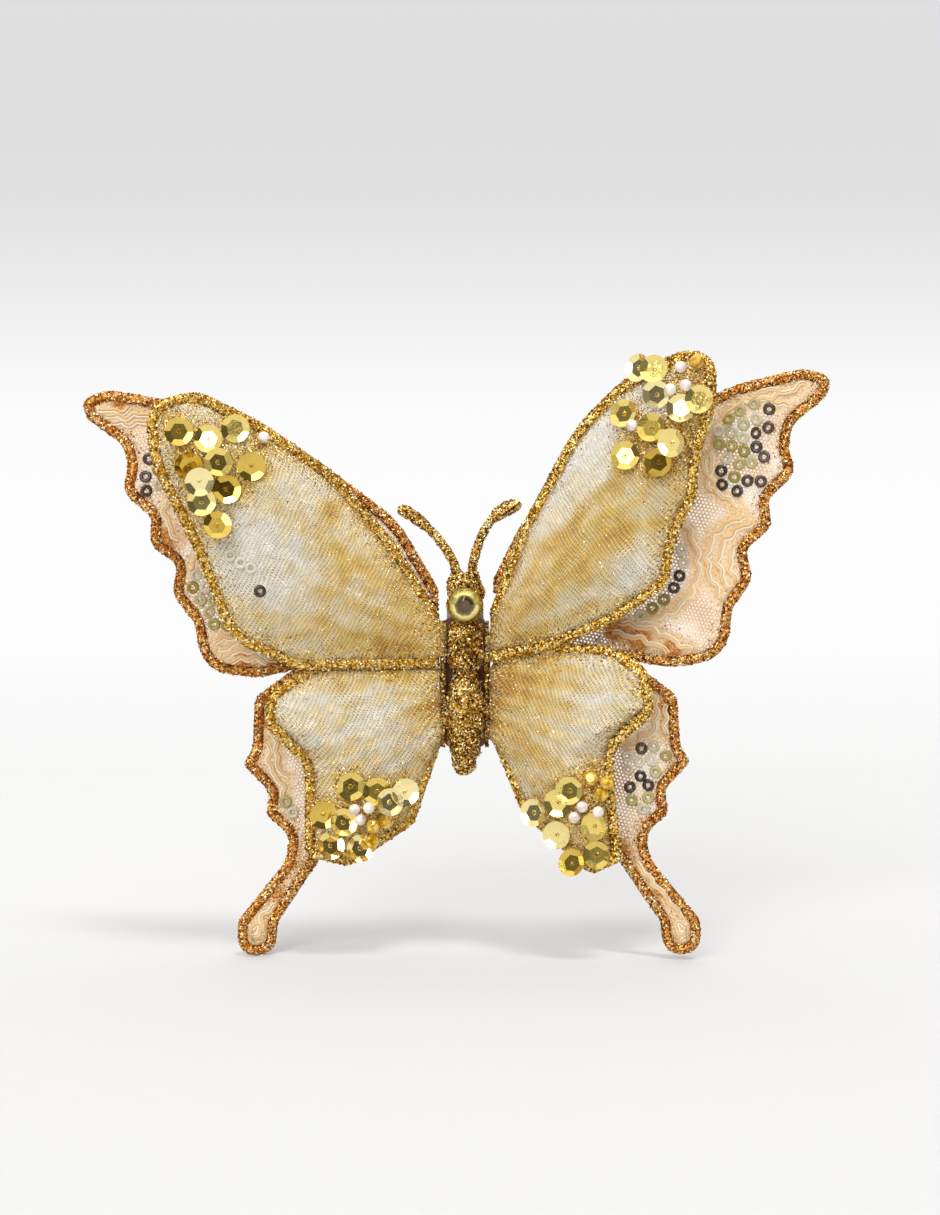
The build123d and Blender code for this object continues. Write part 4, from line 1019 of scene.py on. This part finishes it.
def cup_form():
    """A cup sequin: from its hole, a flat hexagonal floor, six flat facets out to a round rim, and
    back under. The floor's radius is a hexagon's, a / cos(angle from a facet's middle), and the
    facets rise by slope * (R * cos(that angle) - a). A seed bead stands in the hole."""
    turn = np.linspace(0, math.tau, 24, endpoint=False)
    off_middle = np.cos((turn + math.pi / 6) % (math.pi / 3) - math.pi / 6)
    flat = CUP_FLOOR * math.cos(math.pi / 6)
    rise = CUP_SLOPE * (CUP_RADIUS * off_middle - flat)
    hole, floor, rim = np.full(24, CUP_HOLE), flat / off_middle, np.full(24, CUP_RADIUS)
    profile = [(hole, CUP_FILM), (floor, CUP_FILM), (rim, rise + CUP_FILM),
               (rim, rise), (floor, 0.0), (hole, 0.0)]
    rings = [np.stack([out * np.cos(turn), out * np.sin(turn), up + 0 * turn], 1) for out, up in profile]
    cup, faces = weld(*closed_surface(np.array(rings)))
    swirl = np.linspace(0, math.tau, 10, endpoint=False)[:, None]
    tilt = np.linspace(0, math.tau, 6, endpoint=False)
    out, up = 0.34 + 0.2 * np.cos(tilt)[None, :], np.broadcast_to(0.3 + 0.2 * np.sin(tilt), (10, 6))
    seed, seed_faces = closed_surface(np.stack([out * np.cos(swirl), out * np.sin(swirl), up], -1))
    return np.concatenate([cup, seed]), np.concatenate([faces, seed_faces + len(cup)])


def ball_form(radius, sides, rows, squareness):
    """A bead standing on the wing: r = R * sin(t)^squareness over sides, at height R * (1 - cos t)."""
    tilt = np.linspace(0, math.pi, rows + 2)[1:-1, None]
    turn = np.linspace(0, math.tau, sides, endpoint=False)[None, :] + 0 * tilt
    turn[1::2] += math.pi / sides if squareness < 1 else 0
    out = radius * np.sin(tilt) ** squareness
    height = radius * (1 - np.cos(tilt)) + 0 * turn
    return loop_surface(np.stack([out * np.cos(turn), out * np.sin(turn), height], -1))


organza, gold_lining = make_organza(), make_gold_lining()
gold_glitter = make_glitter("gold_glitter", GOLD_FOILS, (112, 68, 14))
# Trimmings by kind: form, finish, slot, how far a lean lifts them, and whether their faces are flat
trimmings = {
    "sequins": (cup_form(), make_gold_sequin(), "gold_sequin", CUP_LIFT, True),
    "pearls": (ball_form(PEARL_RADIUS, 20, 11, 1.0), make_pearl(), "pearl", 0.0, False),
    "beads": (ball_form(BEAD_RADIUS, 10, 5, 0.85), make_crystal(), "crystal", 0.0, True),
}
for number, (side, wing) in enumerate(WINGS):
    hung = hang(side, FRONT_FOLDS[side], FRONT_LIFTS[wing][side], FRONT_LAYERS[wing])
    stem, body = f"{side}_front_{wing}_", f"{side}_front_wing"
    make_border(stem, hung, FRONT_BORDER_WIDTH, gold_glitter, body, "gold_glitter",
                FRONT_BORDER_FLAKES[wing], 140 + number)
    trim_places = {
        kind: solid_places(stem + kind, hung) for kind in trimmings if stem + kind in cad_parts
    }
    heaped = np.concatenate(list(trim_places.values()))[:, :2]

    flat, faces, depth = fill(front_edges(stem + "lining", hung), SKIN_PITCH)
    cloth = np.column_stack([flat, np.zeros(len(flat))])
    # Bearing from a point inside the root, along which streaks and pleats fan out
    fan = np.arctan2(flat[:, 1] + (0 if wing == "forewing" else 3), flat[:, 0] + 9)
    fan += 0.03 * lumps(flat, 16.0, number)
    past_lining = np.full(len(flat), -9.0)
    if (side, wing) == ("right", "forewing"):
        torn_edge = np.interp(flat[:, 0], *np.array(LINING_EDGE).T) + 0.7 * lumps(flat, 2.2, 9)
        past_lining = flat[:, 1] - torn_edge
    # Marks of the skin: its cloth place, how gold it looks with painted sheen and pleat shading in it, and
    # how sheer it is
    marks = {"cloth": cloth, "gilt_and_sheen": gild_and_sheen(flat, fan, past_lining, heaped, side, wing, number),
             "sheer": np.clip(past_lining / 2, 0, 1)}
    shell = carry(hung, skin_points(flat, depth, fan, wing, number), faces)
    skin = make_piece(stem + "organza", *shell, organza, body, "organza", **marks)
    hold_sheet(skin, *shell, flat, SKIN_THICKNESS, -1.0, stem, "skin")

    kept = faces[(past_lining[faces] < 0).all(1)]
    used, kept = np.unique(kept, return_inverse=True)
    crinkle = -LINING_DROP + 0.1 * lumps(flat, 4.0, 190 + number)
    backing = carry(hung, np.column_stack([flat, crinkle])[used], kept.reshape(-1, 3))
    lining = make_piece(stem + "lame", *backing, gold_lining, body, "gold_lining", cloth=cloth[used])
    hold_sheet(lining, *backing, flat[used], LINING_THICKNESS, 0.0, stem, "lining")

    # Glue and foil run round under the trimmings, thinly over the rest of the skin
    middle, from_edge = flat[faces].mean(1), depth[faces].mean(1)
    chance = 0.5 * np.exp(-from_edge / 0.9) + 0.005
    chance += 0.35 * np.exp(-(middle[:, 0] - flat[:, 0].min()) / 1.6)
    for place in heaped:
        chance += 1.3 * np.exp(-((middle - place) ** 2).sum(1) / 2.8**2)
    make_dust(stem + "gold_dust", *shell, chance, gold_glitter, body, "gold_glitter", GOLD_DUST,
              210 + number, (0.5, 0.36))

    for kind, places in trim_places.items():
        (form, form_faces), finish, slot, lift, faceted = trimmings[kind]
        rng = np.random.default_rng(200 + 10 * number + len(kind))
        count = len(places)
        lean = rng.normal((0.0, 0.09), 0.12, (count, 2))
        axes = leaning_axes(np.column_stack([lean, np.ones(count)]), rng)
        sewn = carry(hung, *repeated(form, form_faces, places + (0.0, 0.0, lift), axes))
        tone = np.repeat(rng.uniform(0.1, 1.0, count), len(form))
        trims = make_piece(stem + "sewn_" + kind, *sewn, finish, body, slot, faceted=faceted, tone=tone)
        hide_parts(stem + kind)

    if (side, wing) == ("left", "forewing"):
        spots = np.array(SHOWN_THROUGH)
        risen = puff(spots[:, :2], flat[depth < 1e-3], wing)[0]
        axes = leaning_axes(np.tile([0.15, 0.0, 1.0], (len(spots), 1)), np.random.default_rng(8))
        places = np.column_stack([spots[:, :2], risen + 0.1])
        sew_rings(stem + "shown_rings", hung, places, axes, spots[:, 2], body)

# Body: abdomen, thorax and head are lumps of paste pressed round the spine wire, brushed with
# glue and rolled in olive-gold glitter. They are flat behind, where the felt is glued on.
PASTE_BACK = -4.4
# Of each lump: its low and high end, half width, depth in front, the shares of its width up its
# height, the number of flakes and their tone
BODY_FORMS = {
    "abdomen": (-18.2, 4.6, 4.3, 4.2, [(0.0, 0.20), (0.07, 0.50), (0.2, 0.68), (0.35, 0.84), (0.52, 0.98),
                                       (0.68, 1.0), (0.84, 0.84), (1.0, 0.46)], 4400, 0.02),
    "thorax": (4.3, 15.7, 4.2, 4.0, [(0.0, 0.5), (0.12, 0.86), (0.35, 1.0), (0.55, 0.84), (0.72, 0.98),
                                     (0.9, 0.84), (1.0, 0.5)], 2800, -0.06),
    "head": (15.2, 26.8, 3.9, 3.4, [(0.0, 0.5), (0.16, 0.9), (0.42, 1.0), (0.68, 0.98), (0.88, 0.78),
                                    (1.0, 0.3)], 2400, 0.02),
}
BODY_FOILS = [(0.0, 56, 28, 4), (0.36, 128, 76, 10), (0.54, 218, 154, 40), (0.72, 255, 218, 106),
              (1.0, 255, 248, 204)]
# Ends of the wings' wires, looped on the thorax's front: middle, radius and thickness
THORAX_LOOPS = [((-0.4, -12.2, 10.4), 1.9, 0.62), ((1.9, -12.0, 7.9), 1.7, 0.6)]
THORAX_REACH = 3.75


def paste_form(low, high, half_width, depth_front, profile, seed):
    """A lump on the spine: its ring at height z has the profile's share of the half width, read as
    a smooth curve, plus lumps, and is cut off flat at the back."""
    up = (1 - np.cos(np.linspace(0, math.pi, 44))) / 2
    out = np.interp(up, *np.array(profile).T)
    out = np.convolve(np.pad(out, 2, "edge"), [0.1, 0.2, 0.4, 0.2, 0.1], "valid")[:, None]
    turn = np.linspace(0, math.tau, 56, endpoint=False)[None, :]
    height = low + (high - low) * up[:, None] + 0 * turn
    depth = -BODY_DEPTH - depth_front * out * np.sin(turn)
    rings = np.stack([half_width * out * np.cos(turn), depth, height], -1)
    points = rings.reshape(-1, 3)
    bulge = 0.32 * lumps(points, 4.2, seed) + 0.16 * lumps(points, 1.6, seed + 1)
    axis = np.column_stack([np.zeros(len(points)), np.full(len(points), -BODY_DEPTH), points[:, 2]])
    points = points + unit(points - axis + 1e-6) * bulge[:, None]
    points[:, 1] = np.minimum(points[:, 1], PASTE_BACK)
    return loop_surface(points.reshape(rings.shape))


def add_wire_loops(lump, faces):
    """The thorax with its sides kept clear of the wings and the wires' ends looped on its front."""
    lump[:, 0] = np.clip(lump[:, 0], -THORAX_REACH, THORAX_REACH)
    turn = np.linspace(0, math.tau * 1.04, 60)
    for place, radius, thickness in THORAX_LOOPS:
        rise = 0.4 * np.sin(2 * turn)
        loop = np.stack([radius * np.cos(turn), -rise, 0.86 * radius * np.sin(turn)], 1) + place
        bound, loop_faces = tube(loop, thickness * (1 + 0.2 * lumps(loop, 2.0, 5)), 12)
        faces = np.concatenate([faces, loop_faces + len(lump)])
        lump = np.concatenate([lump, bound])
    return lump, faces


body_glitter = make_glitter("body_glitter", BODY_FOILS, (44, 22, 6))
for number, (name, (*form, count, tone)) in enumerate(BODY_FORMS.items()):
    lump, faces = paste_form(*form, 300 + 5 * number)
    # The head is pressed in along the middle of its top, between the antennae
    if name == "head":
        saddle = np.exp(-((lump[:, 0] / 1.1) ** 2)) * np.clip((lump[:, 2] - 23.5) / 3.3, 0, 1)
        lump[:, 2] -= 1.3 * saddle
    if name == "thorax":
        lump, faces = add_wire_loops(lump, faces)
    paste = glittered(name + "_paste", lump, faces, body_glitter, "body", "body_glitter", count,
                      320 + number, tone=tone)
    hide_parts(name)

# Antennae: stiff wire thickened with glue towards a club at the tip, in the same glitter as the
# body, and set into the top of the head.
ANTENNA_ROUTES = {
    "left": [(-1.95, -8.3, 25.8), (-2.4, -8.2, 28.0), (-5.38, -7.3, 32.64), (-8.58, -6.14, 35.83),
             (-12.48, -4.81, 38.68), (-14.6, -4.3, 39.2)],
    "right": [(1.56, -8.3, 25.8), (1.7, -8.2, 28.0), (3.35, -7.3, 33.43), (6.05, -6.14, 37.54),
              (9.56, -4.98, 39.82), (12.2, -4.4, 40.2)],
}
ANTENNA_RADIUS = 0.9
ANTENNA_FLAKES = 1500
CLUB_RADII = {"left": 1.3, "right": 1.55}
CLUB_LENGTH = 7.6
for number, side in enumerate(ANTENNA_ROUTES):
    line = smoothed(np.array(ANTENNA_ROUTES[side]))
    length = np.concatenate([[0], np.cumsum(np.linalg.norm(np.diff(line, axis=0), axis=1))])
    even = np.linspace(0, length[-1], 120)
    line = np.column_stack([np.interp(even, length, way) for way in line.T])
    # The radius swells to the club's over its length as a bent sine, and rounds off at the tip
    to_tip = np.clip(np.linspace(length[-1], 0, 120) / CLUB_LENGTH, 0, 1)
    club = np.sin(math.pi * (1 - to_tip) ** 1.1 * 0.96) ** 0.8
    swell = ANTENNA_RADIUS + (CLUB_RADII[side] - ANTENNA_RADIUS) * club * (to_tip < 1)
    swell *= np.sqrt(np.clip(1 - (1 - np.clip(to_tip * 6, 0, 1)) ** 2, 0.02, 1))
    swell *= 1 + 0.07 * lumps(line, 3.0, 340 + number)
    feeler = glittered(side + "_feeler", *tube(line, swell, 18), body_glitter, "body", "body_glitter",
                       ANTENNA_FLAKES, 350 + number, tone=0.02)
    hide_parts(side + "_antenna")

# Gem: a round acrylic stone glued to the face. Foil behind its crown of facets shows olive-gold
# round a dark, clear table.
GEM_PLACE = (0.0, -11.5, 18.9)
GEM_RADIUS = 3.8


def gem_surface():
    """A stone about -Y: rings of 16 points at (radius, height), two of them turned by half a
    facet, so that triangles and kites lie between."""
    profile = [(3.55, 0.0, 0), (GEM_RADIUS, 0.3, 0), (GEM_RADIUS, 0.6, 0), (3.15, 1.35, 1), (2.4, 1.85, 0),
               (2.2, 1.95, 0), (1.2, 2.1, 1)]
    rings = []
    for radius, height, half_turn in profile:
        turn = (np.arange(16) + 0.5 * half_turn) * math.tau / 16
        rings.append(np.stack([radius * np.cos(turn), np.full(16, -height), radius * np.sin(turn)], 1))
    return loop_surface(np.array(rings) + np.array(GEM_PLACE))


def make_gem():
    """Acrylic stone, coloured by the distance from its middle: dark, then a pale ring that is partly
    the stone's amber and partly a painted highlight, then olive-gold, with painted glints in cells.
    """
    finish, tree, shader, place = new_finish("gem", Roughness=0.05, Coat_Weight=1.0, Metallic=0.55)
    centred = vector_calc(tree, "SUBTRACT", place, (GEM_PLACE[0] * MM, 0.0, GEM_PLACE[2] * MM))
    level = vector_calc(tree, "MULTIPLY", centred, (1.0, 0.0, 1.0))
    out = vector_calc(tree, "LENGTH", level, output="Value")
    # Painted glints in small cells over the facets
    glints = put(tree, "TexVoronoi", {"Vector": place, "Scale": 700.0}).outputs["Distance"]
    ring = calc(tree, "MULTIPLY_ADD", glints, 0.12, calc(tree, "DIVIDE", out, GEM_RADIUS * MM))
    colour = tint(tree, ring, (0.0, 104, 78, 34), (0.45, 72, 48, 16), (0.6, 132, 112, 24),
                  (0.68, 250, 240, 170), (0.85, 206, 184, 62), (1.0, 120, 94, 24))
    feed(tree, shader, {"Base Color": colour})
    return finish


gem = make_piece("gem_stone", *gem_surface(), make_gem(), "body", "gem", faceted=True)
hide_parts("head_gem")

# Stage: a white table top under the tail tips, a backdrop painted greyer towards its top as shade
# where less light reaches, soft light from the room with a low lamp in front and a high one, and a
# camera a little above.
TABLE_DROP = 0.15
STAGE_REACH = 3.0
WALL_SHOWN = 0.65
FAR_BLEND = (0.3, 0.8)
# Tones of the backdrop by height; its grey towards the top is painted shade
BACKDROP_PAINTED_SHADE = [(0.0, 253, 253, 253), (0.2, 251, 251, 251), (0.4, 238, 238, 238), (0.6, 225, 225, 226),
                  (0.8, 222, 222, 223), (1.0, 224, 224, 225)]
FAR_TONE = [(0.0, 253, 253, 253), (1.0, 253, 253, 253)]
CAMERA_DISTANCE = 600.0
CAMERA_PITCH = 4.0
CAMERA_TARGET = (1.07, -12.0, 18.4)
SENSOR_WIDTH = 36.0
PHOTO_HEIGHT = 1215
PHOTO_PIXEL = 0.2145
# Dark parts of the room that the sequins mirror: way to each, cosines at its edge and where it is
# full, and the light that is left there
DARK_CARDS = [
    ((0.75, -0.60, 0.20), 0.80, 0.88, 0.04),
    ((-0.82, -0.50, 0.10), 0.86, 0.93, 0.12),
    ((-0.30, -0.80, 0.62), 0.95, 0.975, 0.10),
    ((0.26, -0.95, 0.10), 0.88, 0.95, 0.24),
]
# Light from the room: level with the table and from straight above
ROOM_LIGHT = (0.42, 1.5)

reach, low = STAGE_REACH, cad_box[0].z - TABLE_DROP * MM


def make_stage(name, corners, albedo, tones):
    """A sheet of white paper that lamps shade. Far back and up the wall it shows the camera, mirrors
    and clear things a row of tones by height, so that no line shows where the table top ends."""
    finish, tree, shader, place = new_finish(name + "_paper", Roughness=1.0, Base_Color=albedo,
                                             Specular_IOR_Level=0.0)
    part = put(tree, "SeparateXYZ", {0: place}).outputs
    height = spread(tree, part["Z"], 0.0, 1.0, low, low + WALL_SHOWN)
    glow = put(tree, "Emission", {"Color": tint(tree, height, *tones), "Strength": 1.0})
    path = put(tree, "LightPath").outputs
    seen = calc(tree, "MAXIMUM", path["Is Camera Ray"], path["Is Glossy Ray"])
    seen = calc(tree, "MAXIMUM", seen, path["Is Transmission Ray"])
    seen = calc(tree, "MULTIPLY", seen, spread(tree, part["Y"], 0.0, 1.0, *FAR_BLEND))
    mixed = put(tree, "MixShader", {0: seen, 1: shader.outputs[0], 2: glow.outputs[0]})
    feed(tree, tree.nodes["Material Output"], {"Surface": mixed.outputs[0]})
    mesh = bpy.data.meshes.new(name)
    mesh.from_pydata(corners, [], [range(4)])
    mesh.materials.append(finish)
    staged = bpy.data.objects.new(name, mesh)
    bpy.context.scene.collection.objects.link(staged)


top_corners = [(-reach, -reach, low), (reach, -reach, low), (reach, reach, low), (-reach, reach, low)]
wall_corners = [(-reach, reach, low), (-reach, reach, reach), (reach, reach, reach), (reach, reach, low)]
make_stage("table_top", top_corners, dye(206, 206, 207), FAR_TONE)
make_stage("backdrop", wall_corners, dye(240, 240, 240), BACKDROP_PAINTED_SHADE)

world = bpy.data.worlds.new("room")
bpy.context.scene.world = world
world.use_nodes = True
sky = world.node_tree
heading = put(sky, "TexCoord").outputs["Generated"]
room = spread(sky, put(sky, "SeparateXYZ", {0: heading}).outputs["Z"], *ROOM_LIGHT)
for towards, near_edge, full_edge, left_over in DARK_CARDS:
    along = vector_calc(sky, "DOT_PRODUCT", heading, unit(np.array(towards)).tolist(), output="Value")
    room = calc(sky, "MULTIPLY", room, spread(sky, along, 1.0, left_over, near_edge, full_edge))
room = calc(sky, "MAXIMUM", room, put(sky, "LightPath").outputs["Is Camera Ray"])
feed(sky, sky.nodes["Background"], {"Color": dye(255, 254, 251), "Strength": room})


def hang_lamp(name, place, breadth_degrees, strength):
    """A far, broad lamp whose light falls evenly over the table from the way of a place."""
    lamp = bpy.data.lights.new(name, "SUN")
    lamp.angle, lamp.energy = math.radians(breadth_degrees), strength
    held = bpy.data.objects.new(name, lamp)
    x, y, z = place
    held.location = place
    held.rotation_euler = (math.atan2(math.hypot(x, y), z), 0.0, math.atan2(x, -y))
    bpy.context.scene.collection.objects.link(held)


hang_lamp("key_lamp", (-0.3, -0.9, 0.5), 34.0, 1.5)
hang_lamp("glint_lamp", (0.2, -0.5, 1.2), 12.0, 1.0)

camera_lens = bpy.data.cameras.new("camera")
camera_lens.sensor_width = SENSOR_WIDTH
camera_lens.lens = SENSOR_WIDTH * CAMERA_DISTANCE / (PHOTO_PIXEL * PHOTO_HEIGHT)
camera_lens.clip_start, camera_lens.clip_end = 0.01, 20.0
camera = bpy.data.objects.new("camera", camera_lens)
pitch = math.radians(CAMERA_PITCH)
backwards = np.array([0.0, -math.cos(pitch), math.sin(pitch)])
camera.location = (np.array(CAMERA_TARGET) + CAMERA_DISTANCE * backwards) * MM
camera.rotation_euler = (math.pi / 2 - pitch, 0.0, 0.0)
bpy.context.scene.collection.objects.link(camera)
bpy.context.scene.camera = camera
bpy.context.scene.view_settings.view_transform = "Standard"
